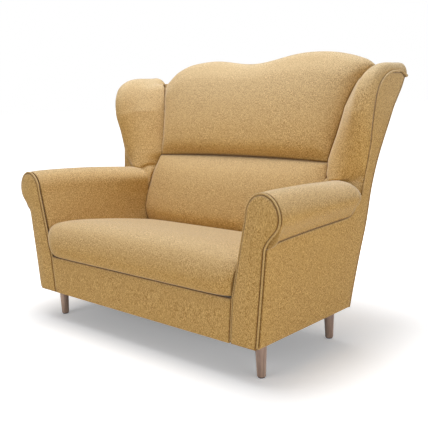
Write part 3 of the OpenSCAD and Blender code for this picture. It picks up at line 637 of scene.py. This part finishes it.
def wood_material(name, light, dark, grain, rough, coat, ways=(1, 1, 0.06)):
    """Straight-grained wood whose grain runs along the third way."""
    t = Tree(name)
    stretched = t.vector("MULTIPLY", t.place, ways)
    warp = t.noise(stretched, grain * 0.25, 2.0)
    bent = t.vector("ADD", stretched, t.join(t.math("MULTIPLY", warp, 0.02), 0.0, 0.0))
    rings = t.noise(bent, grain, 4.0, 0.6)
    pores = t.noise(t.vector("MULTIPLY", t.place, tuple(w * 3 if w == 1 else w for w in ways)), grain * 2.4, 1.0)
    tone = t.ramp(rings, 0.34, 0.68)
    colour = t.colours(tone, dark, light)
    colour = t.colours(t.ramp(pores, 0.60, 0.72, 0.0, 0.35), colour, tuple(c * 0.45 for c in dark[:3]) + (1,))
    return t.finish(colour, t.ramp(rings, 0.3, 0.7, rough, rough * 0.75), t.bump(pores, 0.0004, 0.35),
                    Coat_Weight=coat, Coat_Roughness=0.22, Specular_IOR_Level=0.45)


def plain_material(name, a, b, scale, rough, bump, **plain):
    t = Tree(name)
    n = t.noise(t.place, scale, 3.0)
    return t.finish(t.colours(t.ramp(n, 0.35, 0.65), a, b), t.ramp(n, 0.3, 0.7, rough, rough * 0.8),
                    t.bump(n, 0.0005, bump), **plain)


leg_wood = wood_material("leg_wood", srgb(180, 150, 130), srgb(134, 108, 92), 60, 0.42, 0.25)
timber = wood_material("timber", srgb(222, 192, 146), srgb(190, 152, 104), 45, 0.7, 0.0, (0.08, 1, 1))
plywood = wood_material("plywood", srgb(214, 184, 138), srgb(184, 148, 102), 40, 0.72, 0.0, (1, 0.08, 1))
steel = plain_material("steel", srgb(150, 153, 158), srgb(118, 121, 126), 220, 0.38, 0.2, Metallic=1.0)
nylon = plain_material("glide", srgb(58, 54, 52), srgb(44, 41, 40), 300, 0.55, 0.2)
dust = plain_material("dust_cloth", srgb(48, 46, 46), srgb(34, 33, 33), 700, 0.95, 0.5)
web = plain_material("webbing", srgb(120, 100, 74), srgb(92, 76, 56), 500, 0.9, 0.6)
felt = plain_material("felt", srgb(122, 116, 108), srgb(98, 93, 87), 400, 0.97, 0.6)

# -------------------- seat cushion
NOSE_Z, NOSE_Y = SEAM_H + 45, 65.0


def seat_top(y, u):
    """Height of the seat's top, lower towards the back and at the ends."""
    return SEAM_H + 156 - 50 * clamp01((y - 90) / (SEAT_D - 90)) ** 1.2 - 15 * abs(u) ** 4 - 9 * abs(u) ** 24


def seat_ring(u):
    """Section (y, z) of the seat at the share u of its half width."""
    yb, bottom = seat_rear(u) - CLEAR, SEAM_H + CLEAR
    zr = seat_top(yb, u)
    end = 20 * abs(u) ** 16
    rise = seat_top(NOSE_Y, u) - NOSE_Z
    ring = [(-8 + end, bottom), (yb * 0.5, bottom), (yb, bottom), (yb, mix(bottom, zr, 0.5)), (yb, zr - 16),
            (yb - 10, zr - 3)]
    ring += [(yb * t, seat_top(yb * t, u)) for t in (0.9, 0.78, 0.66, 0.54, 0.42, 0.31, 0.21)]
    for a in range(78, -1, -6):
        c, s = math.cos(math.radians(a)), math.sin(math.radians(a))
        ring.append((NOSE_Y - (NOSE_Y + 25 - end) * c ** 0.84, NOSE_Z + rise * s ** 0.84))
    ring += [(mix(-8 + end, end - 25, t ** 0.45), mix(bottom, NOSE_Z, t)) for t in (1, 0.8, 0.55, 0.35, 0.22, 0.08)]
    return ring


def across_rings(ring_at, stations, step, half):
    """Rings of a cushion: its section ring_at(u) at every share u of the half width half(y, z)."""
    rings, counts = [], dense(ring_at(0.0), step)[1]
    for u in stations:
        flat = dense(ring_at(u), step, counts)[0]
        x = u * half(flat[:, 0], flat[:, 1])
        rings.append(np.stack([x, flat[:, 0], flat[:, 1]], 1))
    return np.array(rings)


def seat_side(y, z):
    return arm_inner(y, z) - CLEAR - 5 * smooth01((30 - y) / 50)


rings = soften(across_rings(seat_ring, spread(STATIONS), 9.0, seat_side), 6)
seat = new_object("seat", *loft(rings))
p = points_of(seat)
free = smooth01((p[:, 2] - SEAM_H - 12) / 60) * off_sides(p, arm_inner) * smooth01((SEAT_D - 25 - p[:, 1]) / 60)
inflate(seat, free, 8.0)
shade_seam_ends(seat, arm_inner, SEAM_H)
finish_piece(seat, fabric, ["seat_cushion"])


# -------------------- back cushions
def edge_draw(z, u, depth):
    """How far the front of a cushion, depth thick, turns back towards its sides."""
    sharp = 18 + 30 * np.exp(-((z - SPLIT_H) / 35) ** 2)
    return np.minimum(deepen(z), np.maximum(depth - 4, 0)) * abs(u) ** sharp


def lower_side(y, z):
    return lower_half(z)


def upper_side(y, z):
    return upper_half(z)


def lower_front(z, u):
    swell = curve([[-310, 1], [-212, 1], [-122, 0.88], [-62, 0.6], [-22, 0.3], [0, 0]], z - SPLIT_H)
    edge = lower_edge_y(np.minimum(z, SPLIT_H))
    return edge + edge_draw(z, u, cushion_y(z) - edge) - 45 * (1 - abs(u) ** 2.6) * swell


LOWER_BOTTOM = SEAM_H + 5


def lower_ring(u):
    top = split_z(u) - CLEAR
    fall = top - LOWER_BOTTOM
    ring = [(seat_rear(u) + CLEAR, LOWER_BOTTOM)]
    ring += [(cushion_y(z), z) for z in (LOWER_BOTTOM + fall * t for t in (0, 0.3, 0.55, 0.78, 0.97))]
    first = lower_front(top, u)
    ring += [(mix(first, cushion_y(top), 0.5), top), (first + 14, top), (first + 5, top - 0.8),
             (first + 1.5, top - 3)]
    ring += [(lower_front(top - d, u), top - d) for d in
             (7, 12, 19, 26, 36, 46, 59, 72, 88, 104, 123, 142, 163, 184, 205, 226, 244, 262, 290)]
    ring += [(seat_rear(u) + CLEAR, top - 312)]
    return ring


rings = across_rings(lower_ring, spread(STATIONS), 7.0, lower_side)
rings = soften(rings, 4, 1.0 * (rings[STATIONS // 2, :, 2] > SPLIT_H - 10))
lower_back = new_object("lower_back", *loft(rings))
p = points_of(lower_back)
free = smooth01((SPLIT_H - 14 - p[:, 2]) / 50) * smooth01((cushion_y(p[:, 2]) - 30 - p[:, 1]) / 40)
free *= off_sides(p, lower_side) * smooth01((p[:, 2] - 400) / 30)
inflate(lower_back, free, 7.0)
shade_seam_ends(lower_back, lower_side, SPLIT_H, SPLIT_BOW)
finish_piece(lower_back, fabric, ["lower_back_cushion"])


def upper_front(z, u):
    swell = curve([[0, 0], [36, 0.9], [110, 1], [260, 0.8], [400, 0.3]], z - SPLIT_H)
    edge = upper_edge_y(z)
    return edge + edge_draw(z, u, cushion_y(z) - edge) - 22 * (1 - abs(u) ** 3) * swell


TOP_HALF = 583.0


def upper_ring(u):
    line = top_z(u * TOP_HALF)
    zt = line - slump(u * TOP_HALF)
    low = split_z(u) + CLEAR
    rail, hem = line - TOP_PAD + CLEAR, line - 30
    ring = [(mix(upper_front(low, u), cushion_y(low), 0.4), low)]
    ring += [(cushion_y(z), z) for z in (low + (rail - low) * t for t in (0.02, 0.25, 0.5, 0.75, 1))]
    ring += [(rear_y(rail) - CLEAR, rail), (rear_y(hem) - CLEAR, hem)]
    rear, front = rear_y(zt), upper_front(zt, u)
    ring += [(rear_y(zt - 8) - 14, zt - 10), (mix(rear, front, 0.4), zt), (mix(rear, front, 0.72), zt - 6)]
    ring += [(upper_front(zt - d, u) + 220 / d, zt - d) for d in (20, 40)]
    for t in (0.84, 0.8, 0.73, 0.66, 0.58, 0.5, 0.43, 0.36, 0.295, 0.23, 0.18, 0.13, 0.09, 0.06, 0.04, 0.02):
        z = low + (zt - low) * t
        ring.append((upper_front(z, u), z))
    first = upper_front(low, u)
    return ring + [(first + 1.5, low + 3), (first + 5, low + 0.8), (first + 14, low)]


rings = across_rings(upper_ring, spread(STATIONS), 7.0, upper_side)
rings = soften(rings, 5, 1.0 * (rings[STATIONS // 2, :, 2] < SPLIT_H + 10))
upper_back = new_object("upper_back", *loft(rings))
p = points_of(upper_back)
free = smooth01((p[:, 2] - SPLIT_H - 14) / 50) * smooth01((cushion_y(p[:, 2]) - 22 - p[:, 1]) / 30)
free *= off_sides(p, upper_side)
inflate(upper_back, free, 6.0)
shade_seam_ends(upper_back, upper_side, SPLIT_H, SPLIT_BOW)
finish_piece(upper_back, fabric, ["upper_back_cushion"])


# -------------------- arms
def roll_pt(y, a, inset=0.0):
    x0, x1 = arm_inner(y, ROLL_MID) + inset, arm_outer(y) - inset
    a = math.radians(a)
    return ((x0 + x1) / 2 + (x1 - x0) / 2 * math.cos(a), ROLL_MID + (arm_top(y) - inset - ROLL_MID) * math.sin(a))


# Line that clears the edge of the board in the arm front: share of the roll's overhang by height in percent
BOARD_RIM = [[0, 0.14], [7, 0.37], [12, 0.45], [22, 0.61], [33, 0.69], [43, 0.76], [53, 0.81], [63, 0.845],
             [74, 0.875], [84, 0.89], [100, 0.91]]


def over_board(y):
    """1 where the arm's cloth lies over the edge of the front board."""
    return (y > FACING_T - 1) * (1 - smooth01((y - 23) / 18))


def under_pt(y, a, inset=0.0):
    inset *= 1 - over_board(y)
    x0, x1 = side_x(neck_z(y)) - inset, arm_outer(y) - inset
    t = curve([[0, 0], [10, 0.08], [26, 0.25], [42, 0.48], [62, 0.77], [78, 0.93], [100, 1]], a / 0.9)
    t = max(t, mix(t, curve(BOARD_RIM, a / 0.9), over_board(y)))
    return (mix(x0, x1, t), mix(neck_z(y), ROLL_MID, a / 90))


def side_pt(d, v):
    return (HALF_W - d * math.cos(FLARE) + v * math.sin(FLARE), LEG_H + d * math.sin(FLARE) + v * math.cos(FLARE))


def along(z):
    return (z - LEG_H) / math.cos(FLARE)


ARM_BOTTOM = SEAM_H + 1
BOARD_V = along(SIDE_BOARD_H)
RAIL_W, RAIL_H = 44, 25
RAIL_D = COVER_T + (BOARD_T - RAIL_W) / 2


def arm_ring(y, inset):
    """Section (x, z) of the arm's cloth round its boards, and how many of its points show."""
    ring = [(arm_inner(y, z) + inset, z) for z in np.linspace(ARM_BOTTOM, ROLL_MID, 12)]
    ring += [roll_pt(y, a, inset) for a in range(172, -1, -8)] + [roll_pt(y, 0, inset)]
    ring += [under_pt(y, a, inset) for a in (82, 75, 66, 58, 49, 40, 31, 22, 12, 5)]
    ring.append((side_x(neck_z(y)) - inset, neck_z(y)))
    visible = len(ring)
    c, d0, d1 = COVER_T - CLEAR, RAIL_D - CLEAR, RAIL_D + RAIL_W + CLEAR
    v1, v2 = BOARD_V - CLEAR, BOARD_V + RAIL_H + CLEAR
    ring += [side_pt(c, along(neck_z(y))), side_pt(c, v1), side_pt(d0, v1), side_pt(d0, v2), side_pt(d1, v2),
             side_pt(d1, v1), side_pt(INNER_D, v1), (side_x(ARM_BOTTOM) - INNER_D / math.cos(FLARE), ARM_BOTTOM)]
    return ring, visible


def arm(name, mirrored, side):
    end = ARM_L
    stations = [(14.3, 4.5), (14.6, 3.2), (15.3, 1.8), (16.5, 0.8), (18.5, 0.2), (22.0, 0.0)]
    stations += [(y, 0.0) for y in np.linspace(30, end - ROLL_END, 44)]
    stations += [(end - ROLL_END * (1 - math.sin(math.radians(a))), 0.0) for a in range(10, 91, 10)]
    rings, counts = [], None
    for y, inset in stations:
        ring, visible = arm_ring(y, inset)
        flat, counts = dense(ring, 9.0, counts)
        below = (flat[:, 1] < ROLL_MID) & (flat[:, 0] > side_x(flat[:, 1]) - 6)
        rings.append(np.stack([flat[:, 0], y - 1.6 * below * clamp01((22 - y) / 6), flat[:, 1]], 1))
    shown = int(counts[:visible].sum())
    keep = (np.arange(len(flat)) >= shown - 2).astype(float)
    keep[:2] = 1
    rings = soften(np.array(rings), 3, keep)
    obj = new_object(name, *loft(rings), mirrored)
    p = points_of(obj)
    free = np.append(np.tile(1 - keep, len(stations)), (0, 0)) * smooth01((p[:, 1] - 24) / 30)
    free *= smooth01((end - 10 - p[:, 1]) / 40) * smooth01((p[:, 2] - 400) / 60)
    inflate(obj, free, 3.0)
    # Painted seam shade along the arm front and along the seam under the roll
    under = np.where(abs(p[:, 0]) > arm_outer(ARM_L) - 40, abs(p[:, 2] - neck_z(p[:, 1])), 99)
    shelf = (p[:, 2] < 540) & (abs(p[:, 0]) > side_x(p[:, 2]) + 3)
    front = np.exp(-((p[:, 1] - 14) / 3) ** 2) * np.where(shelf, 0.3, 1)
    shade_seams(obj, np.maximum(front, np.exp(-(under / SEAM_REACH) ** 2)))
    finish_piece(obj, fabric, ["arm_pad_" + side])


both(arm, "arm")


def front_line(inset):
    """Outline of the arm front, from the bottom of its inside edge round to the bottom of its outside edge."""
    line = [(arm_inner(0, z) + inset, z) for z in np.linspace(LEG_H, ROLL_MID, 50)]
    line += [roll_pt(0, a, inset) for a in range(176, -1, -4)]
    line += [under_pt(0, a, inset) for a in range(86, 0, -5)]
    line += [(side_x(z) - inset, z) for z in np.linspace(NECK_H, LEG_H, 40)]
    return np.array(line)


def facing(name, mirrored, side):
    def place(s, t, h):
        return np.stack([s, FACING_T - CLEAR - h, t], 1)
    obj = panel(name, front_line(6.2), place, FACING_T - CLEAR, 6.0, 8.0, 7.0, mirrored)
    finish_piece(obj, fabric, ["arm_facing_" + side])


both(facing, "arm_front")


ARM_CORD_R, ARM_CORD_Y = 3.4, 5.5
WING_CORD_R, WING_CORD_OUT = 3.8, 3.5


def arm_piping(name, mirrored, side):
    line = front_line(2.6)
    line = evened(resample(line[line[:, 1] > LEG_H + 3], 4.0), 3)
    path = np.stack([line[:, 0], np.full(len(line), ARM_CORD_Y), line[:, 1]], 1)
    obj = tube(name, path, ARM_CORD_R, mirrored)
    finish_piece(obj, cord_cloth_painted_highlight, ["arm_piping_" + side])


both(arm_piping, "arm_cord")


# -------------------- wings
WING_FOOT = 628.0
BOARD_TOP = SIDE_BOARD_H + INNER_D * math.sin(FLARE) + 2 * CLEAR
REAR_TOP = rear_y(WING_H)
CROWN_DROP, CROWN_Y = 17.0, 755.0
# How far the dropped line moves out per millimetre of drop
DROP_OUT = 0.12
# Distances of the wing's inside and outside nose from the outer plane of the side, up to the bend and on it
NOSE_IN, NOSE_OUT, BEND_OUT = 118, 22, 20


def crown_drop(y):
    """How far the rolled end of the crown hangs down over the side, towards its rear end."""
    return CROWN_DROP * smooth01((y - CROWN_Y) / (REAR_TOP - CROWN_Y))


def piping_y(z):
    return REAR_TOP - curve([[-448, 237], [-334, 218], [-262, 208], [-165, 209], [-90, 204], [-43, 183], [-21, 166],
                             [-5, 143], [0, 113]], z - WING_H)


def nose_in_y(z):
    return REAR_TOP - curve([[-378, 264], [-348, 252], [-308, 240], [-248, 227], [-208, 219], [-168, 211],
                             [-128, 204], [-74, 180]], z - WING_H)


def nose_out_y(z):
    return REAR_TOP - curve([[-408, 222], [-372, 224], [-335, 234], [-283, 241], [-218, 250], [-145, 265],
                             [-94, 261], [-42, 247], [-15, 227], [5, 200]], z - WING_H)


def wing_inside(z):
    return (lower_half(z) if z < SPLIT_H else upper_half(z)) + CLEAR


def wing_edge_y(z):
    edge = lower_edge_y(z) if z < SPLIT_H else upper_edge_y(z)
    return np.minimum(edge + deepen(z), cushion_y(z) - TUCK - 2)


def board_in_x(z):
    return side_x(z) - INNER_D / math.cos(FLARE)


def arc(a, b, ta, tb, count):
    """Points after a and before b on a smooth line with the given tangents."""
    return cubic(a, b, ta, tb, (np.arange(1, count) / count)[:, None])


def unit(v):
    return v / np.linalg.norm(v)


def wing_section(n, o, p, hidden, j, ahead, square=False):
    """One ring of the wing in space: inside nose n, outside nose o, cord p, hidden points, and j beside the back.
    ahead points out of the nose; a square ring has straight sides."""
    n, o, p, j, ahead = (np.array(q, float) for q in (n, o, p, j, ahead))
    if square:
        arcs = [arc(a, b, b - a, b - a, k) for a, b, k in ((n, o, 8), (o, p, 6), (j, n, 8))]
    else:
        d_n, d_o, d_p = np.linalg.norm(n - j), np.linalg.norm(o - n), np.linalg.norm(p - o)
        turn_n, turn_o = unit(unit(n - j) + unit(o - n)), unit(unit(o - n) + unit(p - o))
        first = unit(2 * unit(n - j) - turn_n)
        last = unit(2 * unit(p - o) - turn_o - 0.6 * ahead)
        arcs = [arc(n, o, turn_n * d_o, turn_o * d_o, 8), arc(o, p, turn_o * d_p, last * d_p, 6),
                arc(j, n, first * d_n, turn_n * d_n, 8)]
    return np.vstack([n, arcs[0], o, arcs[1], p, np.array(hidden, float), j, arcs[2]])


TUCK = 4.0


def low_section(z):
    """Level ring: the wing's stem behind the arm, and the wing up to its bend."""
    f, over = ARM_L + CLEAR, z > BOARD_TOP
    out, deep, inside, back = side_x(z) if over else board_in_x(z), board_in_x(z), wing_inside(z), cushion_y(z)
    e = piping_y(max(z, SIDE_BOARD_H)) - CLEAR if over else f + 8
    hidden = [(deep, e + 2 * (not over), z), (deep, back, z), (inside, back, z)]
    j = wing_edge_y(z) + TUCK
    if z >= WING_FOOT:
        n, o = (out - NOSE_IN, nose_in_y(z), z), (out - NOSE_OUT, nose_out_y(z), z)
        return wing_section(n, o, (out, e, z), hidden, (inside, j, z), (0, -1, 0))
    rise = clamp01((z - ROLL_MID) / (WING_FOOT - 6 - ROLL_MID))
    x = mix(out - NOSE_IN, arm_inner(ARM_L, z), math.sqrt(1 - rise * rise))
    o = (out - 30 + 8 * rise, mix(f, nose_out_y(WING_FOOT), rise ** 1.5), z)
    return wing_section((x, f, z), o, (out, e, z), hidden, (inside, max(j, f + 4), z), (0, -1, 0), True)


# The wing's bend over its top: cord at (y, z), how far the ring leans back in degrees, how far before the cord
# lie the outside nose and the inside nose, and the line beside the back at (x, y, z)
BEND = np.array([(592.5, 880, 0, 56, -1, 510, 708, 880), (594, 905, 10, 56, -12, 514, 715, 902),
                 (597, 930, 24, 55, -20, 519, 721, 921), (607, 961, 38, 50, -27, 526, 728, 941),
                 (621, 978, 46, 46, -26, 533, 734, 957), (638, 991, 53, 42, -21, 542, 742, 973),
                 (665, 1004.5, 66, 36, -14, 553, 752, 992), (700, 1011, 81, 32, -7, 572, 765, 1007),
                 (740, 1012, 90, 31, -1, 592, 779, 1016), (765, 1012, 93, 31, 0, 604, 788, 1016),
                 (784, 1012, 96, 31, -2, 610, 795, 1014), (798, 1012, 99, 30, -4, 615, 801, 1010)], float)
BEND_START = BEND[0, 1]


def bend_rows(count):
    at = np.concatenate([[0], np.cumsum(np.hypot(*np.diff(BEND[:, :2], axis=0).T))])
    even = np.linspace(0, at[-1], count)
    return np.stack([curve(np.stack([at, BEND[:, k]], 1), even) for k in range(8)], 1)


def bend_ring(row):
    """Ring of the wing across its bend."""
    y, z, lean, d_out, d_in, *j = row
    ahead = np.array((0, -math.cos(math.radians(lean)), math.sin(math.radians(lean))))
    out, deep = side_x(z), board_in_x(z)
    drop = crown_drop(y)
    p, j = np.array((out + DROP_OUT * drop, y, z - drop)), np.array(j)
    first = np.array((deep, y, z)) - 0.5 * ahead
    hidden = [p - (COVER_T - 1, 0, 0), np.array((out - COVER_T + 1, y, z)) - 0.5 * ahead, first + (j - first) * 0.4]
    n, o = np.array((out - NOSE_IN, y, z)) + ahead * d_in, np.array((out - BEND_OUT, y, z)) + ahead * d_out
    return wing_section(n, o, p, hidden, j, ahead)


def arm_roof(x, y):
    """Height of the arm's roll under a point of the wing's foot."""
    y = np.minimum(y, ARM_L)
    x0, x1 = arm_inner(y, ROLL_MID), arm_outer(ARM_L - ROLL_END)
    across = clamp01(1 - ((x - (x0 + x1) / 2) / ((x1 - x0) / 2)) ** 2)
    return ROLL_MID + (arm_top(y) - ROLL_MID) * np.sqrt(across)


def wing(name, mirrored, side):
    spans = ((LOWER_BOTTOM, BOARD_TOP, 24), (BOARD_TOP + CLEAR, WING_FOOT - 1, 10), (WING_FOOT, BEND_START, 44))
    rings = [low_section(z) for span in spans for z in np.linspace(*span)]
    rings += [bend_ring(row) for row in bend_rows(56)]
    end = rings[-1]
    centre = end.mean(0) + (0, 2, 2)
    for a in (15, 30, 44, 57, 69, 80):
        c, s = math.cos(math.radians(a)), math.sin(math.radians(a))
        rings.append(centre + (end - centre) * c + np.array((0, 21, -2)) * s)
    counts = dense(low_section(850.0), 9.0)[1]
    rings = np.array([dense(ring, 9.0, counts)[0] for ring in rings])
    obj = new_object(name, *loft(rings), mirrored)
    p = points_of(obj)
    drop = (WING_FOOT - 0.5 - arm_roof(abs(p[:, 0]), p[:, 1])) * smooth01((ARM_L + 32 - p[:, 1]) / 32)
    above = p[:, 2] > WING_FOOT - 0.5
    share = np.where(above, 1 - smooth01((p[:, 2] - WING_FOOT) / 60), smooth01((p[:, 2] - 500) / (WING_FOOT - 500)))
    p[:, 2] -= np.maximum(drop, 0) * share
    set_points(obj, p)
    weight = np.where(p[:, 1] > ARM_L + 1, smooth01((p[:, 2] - 572) / 30), smooth01((p[:, 2] - WING_FOOT - 4) / 25))
    k, at_p, at_j = np.arange(sum(counts)), sum(counts[:14]), sum(counts[:18])
    away = np.maximum(at_p - k, 0) + np.maximum(k - at_j, 0)
    seen = np.append(np.tile(smooth01(away / 5.0), len(rings)), (1, 1))
    laplacian(obj, 60, weight * seen * (1 - 0.8 * smooth01((p[:, 1] - 775) / 25)))
    shade_seams(obj, 0.0)
    finish_piece(obj, fabric, ["wing_pad_" + side])


both(wing, "wing")


def wing_piping(name, mirrored, side):
    levels = np.linspace(SIDE_BOARD_H + 10, BEND_START - 5, 40)
    path = [(side_x(z) + WING_CORD_OUT, piping_y(z), z) for z in levels]
    path += [(side_x(z) + WING_CORD_OUT + DROP_OUT * crown_drop(y), y, z - crown_drop(y))
             for y, z in bend_rows(50)[:, :2]]
    path += [(side_x(1000) + 3.0, 801, 994), (side_x(1000) - 0.5, 806, 992), (side_x(1000) - 8.0, 807, 993)]
    obj = tube(name, evened(resample(path, 4.0), 3), WING_CORD_R, mirrored)
    finish_piece(obj, cord_cloth_painted_highlight, ["wing_piping_" + side])


both(wing_piping, "wing_cord")


# -------------------- outside covers
def toe_in(y, z):
    """How far the sides draw in towards the rear edge, at mid height."""
    return 9 * smooth01((y - rear_y(z) + 190) / 190) * smooth01((z - 420) / 180) * smooth01((980 - z) / 110)


def side_cover(name, mirrored, side):
    end = ARM_L + 2 * CLEAR
    line = [(FACING_T + CLEAR, LEG_H)]
    line += [(rear_y(z), z) for z in np.linspace(LEG_H, WING_H - CROWN_DROP, 60)]
    line += [(y, WING_H - crown_drop(y)) for y in np.linspace(REAR_TOP - 2, CROWN_Y, 20)]
    line += [(piping_y(z), z) for z in np.linspace(WING_H, SIDE_BOARD_H, 50)]
    line += [(end, SIDE_BOARD_H), (end, neck_z(end))]
    line += [(y, neck_z(y) - 1) for y in np.linspace(end - 6, FACING_T, 50)]

    def place(s, t, h):
        d = COVER_T - h + toe_in(s, t) * (h > 3)
        x = side_x(t) - d / math.cos(FLARE)
        return np.stack([x, s, t], 1)
    obj = panel(name, line, place, COVER_T, 7.0, 2.5, 10.0, mirrored,
                lambda s, t: smooth01((rear_y(t) - 60 - s) / 40) * smooth01((t - LEG_H - 4) / 8))
    finish_piece(obj, fabric, ["side_cover_" + side])


both(side_cover, "side")


def apron():
    half_low, half_top = inner_front(LEG_H), inner_front(SEAM_H)
    line = [(-half_low, LEG_H), (half_low, LEG_H), (half_top, SEAM_H - CLEAR), (-half_top, SEAM_H - CLEAR)]

    def place(s, t, h):
        return np.stack([s, ARM_FRONT_Y - CLEAR - h, t], 1)
    obj = panel("apron", line, place, ARM_FRONT_Y - CLEAR, 5.0, 3.0, 9.0,
                sewn=lambda s, t: smooth01((t - LEG_H - 4) / 8))
    finish_piece(obj, fabric, ["front_apron"])


apron()


def back_top(u):
    corner = 16 * smooth01((abs(u) - 0.93) / 0.07)
    return np.maximum(top_z(np.minimum(abs(u) * side_x(WING_H), END_X)) - 31, WING_H + 6) - corner


def outside_back():
    line = [(u, 0.0) for u in np.linspace(-1, 1, 60)] + [(1.0, t) for t in np.linspace(0.02, 0.98, 40)]
    line += [(u, 1.0) for u in np.linspace(1, -1, 60)] + [(-1.0, t) for t in np.linspace(0.98, 0.02, 40)]
    line = np.array(line) * (700, 950)

    def place(s, t, h):
        u, v = s / 700, t / 950
        z = mix(LEG_H, back_top(u), v)
        swell = 9 - 6 * smooth01((z - 940) / 60) + 16 * (1 - abs(u) ** 8) * (1 - abs(2 * v - 1) ** 8)
        y = rear_y(z) + CLEAR + (h / 10) * swell
        return np.stack([u * (side_x(z) - toe_in(rear_y(z), z)), y, z], 1)
    obj = panel("outside_back_cover", line, place, 10.0, 6.0, 0.0, 12.0, sewn=lambda s, t: 0 * s)
    finish_piece(obj, fabric, ["outside_back"])


outside_back()

# -------------------- frame parts that stay
KINDS = {"leg_bolts": steel, "leg_nuts": steel, "seat_springs": steel, "spring_clips": steel, "dust_cover": dust,
         "back_webbing": web, "spring_felt": felt, "leg_": leg_wood, "glide_": nylon}
for node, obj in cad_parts.items():
    if not obj.hide_render:
        material = next((m for kind, m in KINDS.items() if node.startswith(kind)), timber)
        obj.data.materials.clear()
        obj.data.materials.append(plywood if "board" in node else material)

# -------------------- floor, light and camera
floor_mesh = bpy.data.meshes.new("floor")
floor_mesh.from_pydata([(-60, -60, 0), (60, -60, 0), (60, 60, 0), (-60, 60, 0)], [], [(0, 1, 2, 3)])
floor = bpy.data.objects.new("floor", floor_mesh)
bpy.context.scene.collection.objects.link(floor)
# Half sizes in metres of the rectangle under the sofa, and the floor's glow beside it, which keeps its shadow soft
FOOTPRINT = (0.62, 0.36)
FLOOR_GLOW = (0.22, 0.5)
t = Tree("floor")
t.nodes.remove(t.shader)
diffuse = t.nodes.new("ShaderNodeBsdfDiffuse")
diffuse.inputs["Color"].default_value = (0.93, 0.93, 0.94, 1)
glow = t.nodes.new("ShaderNodeEmission")
glow.inputs["Color"].default_value = (1, 1, 1, 1)
path = t.nodes.new("ShaderNodeLightPath")
seen = t.math("MAXIMUM", path.outputs["Is Camera Ray"], t.math("MAXIMUM", path.outputs["Is Glossy Ray"],
                                                               path.outputs["Is Transmission Ray"]))
beyond = [t.math("MAXIMUM", t.math("SUBTRACT", t.math("ABSOLUTE", v), half), 0.0)
          for v, half in zip(t.split(t.place), FOOTPRINT)]
away = t.math("SQRT", t.math("ADD", *(t.math("MULTIPLY", v, v) for v in beyond)))
near = t.ramp(away, 0.0, 0.45, *FLOOR_GLOW)
t.put(glow.inputs["Strength"], t.math("MULTIPLY", seen, t.blend(t.ramp(away, 0.45, 1.4), near, 1.0)))
both_parts = t.nodes.new("ShaderNodeAddShader")
t.links.new(diffuse.outputs[0], both_parts.inputs[0])
t.links.new(glow.outputs[0], both_parts.inputs[1])
t.links.new(both_parts.outputs[0], t.nodes["Material Output"].inputs["Surface"])
floor_mesh.materials.append(t.material)

world = bpy.data.worlds.new("studio")
bpy.context.scene.world = world
world.use_nodes = True
nodes, links = world.node_tree.nodes, world.node_tree.links
background = nodes["Background"]
background.inputs["Color"].default_value = (1, 1, 1, 1)
light_path = nodes.new("ShaderNodeLightPath")
mixed = nodes.new("ShaderNodeMapRange")
links.new(light_path.outputs["Is Camera Ray"], mixed.inputs["Value"])
WORLD_LIGHT = 0.29
mixed.inputs["To Min"].default_value = WORLD_LIGHT
mixed.inputs["To Max"].default_value = 1.0
links.new(mixed.outputs[0], background.inputs["Strength"])


def area(name, place, target, size, power):
    data = bpy.data.lights.new(name, "AREA")
    data.shape = "RECTANGLE"
    data.size, data.size_y = size
    data.energy = power
    obj = bpy.data.objects.new(name, data)
    obj.location = place
    obj.rotation_mode = "QUATERNION"
    obj.rotation_quaternion = (Vector(target) - Vector(place)).to_track_quat("-Z", "Y")
    bpy.context.scene.collection.objects.link(obj)


area("overhead", (-0.2, 0.0, 3.4), (0, 0.1, 0.4), (3.0, 2.4), 104)
area("side", (3.4, -0.5, 0.65), (0, 0, 0.5), (2.2, 0.9), 31)
area("front", (-0.6, -3.8, 1.5), (0, 0, 0.6), (2.8, 1.8), 33)

# The camera fitted to the photo: focal length and picture size in pixels, its place in metres, and its turn
# round the sofa, its tilt down and its roll in degrees
FOCAL_PX, PICTURE_PX, SENSOR = 658.702, 428, 36
CAMERA_PLACE = (1.8783, -1.9608, 0.9297)
CAMERA_TURN = (42.641, 9.870, -1.830)
camera_data = bpy.data.cameras.new("camera")
camera_data.sensor_width = SENSOR
camera_data.lens = FOCAL_PX * SENSOR / PICTURE_PX
camera_data.clip_end = 200
camera = bpy.data.objects.new("camera", camera_data)
turn, tilt, roll = (math.radians(v) for v in CAMERA_TURN)
forward = Vector((-math.sin(turn) * math.cos(tilt), math.cos(turn) * math.cos(tilt), -math.sin(tilt)))
right = Vector((math.cos(turn), math.sin(turn), 0))
up = right.cross(forward)
right, up = right * math.cos(roll) + up * math.sin(roll), up * math.cos(roll) - right * math.sin(roll)
camera.matrix_world = Matrix([*zip(right, up, -forward, CAMERA_PLACE), (0, 0, 0, 1)])
bpy.context.scene.collection.objects.link(camera)
bpy.context.scene.camera = camera
bpy.context.scene.view_settings.view_transform = "Standard"
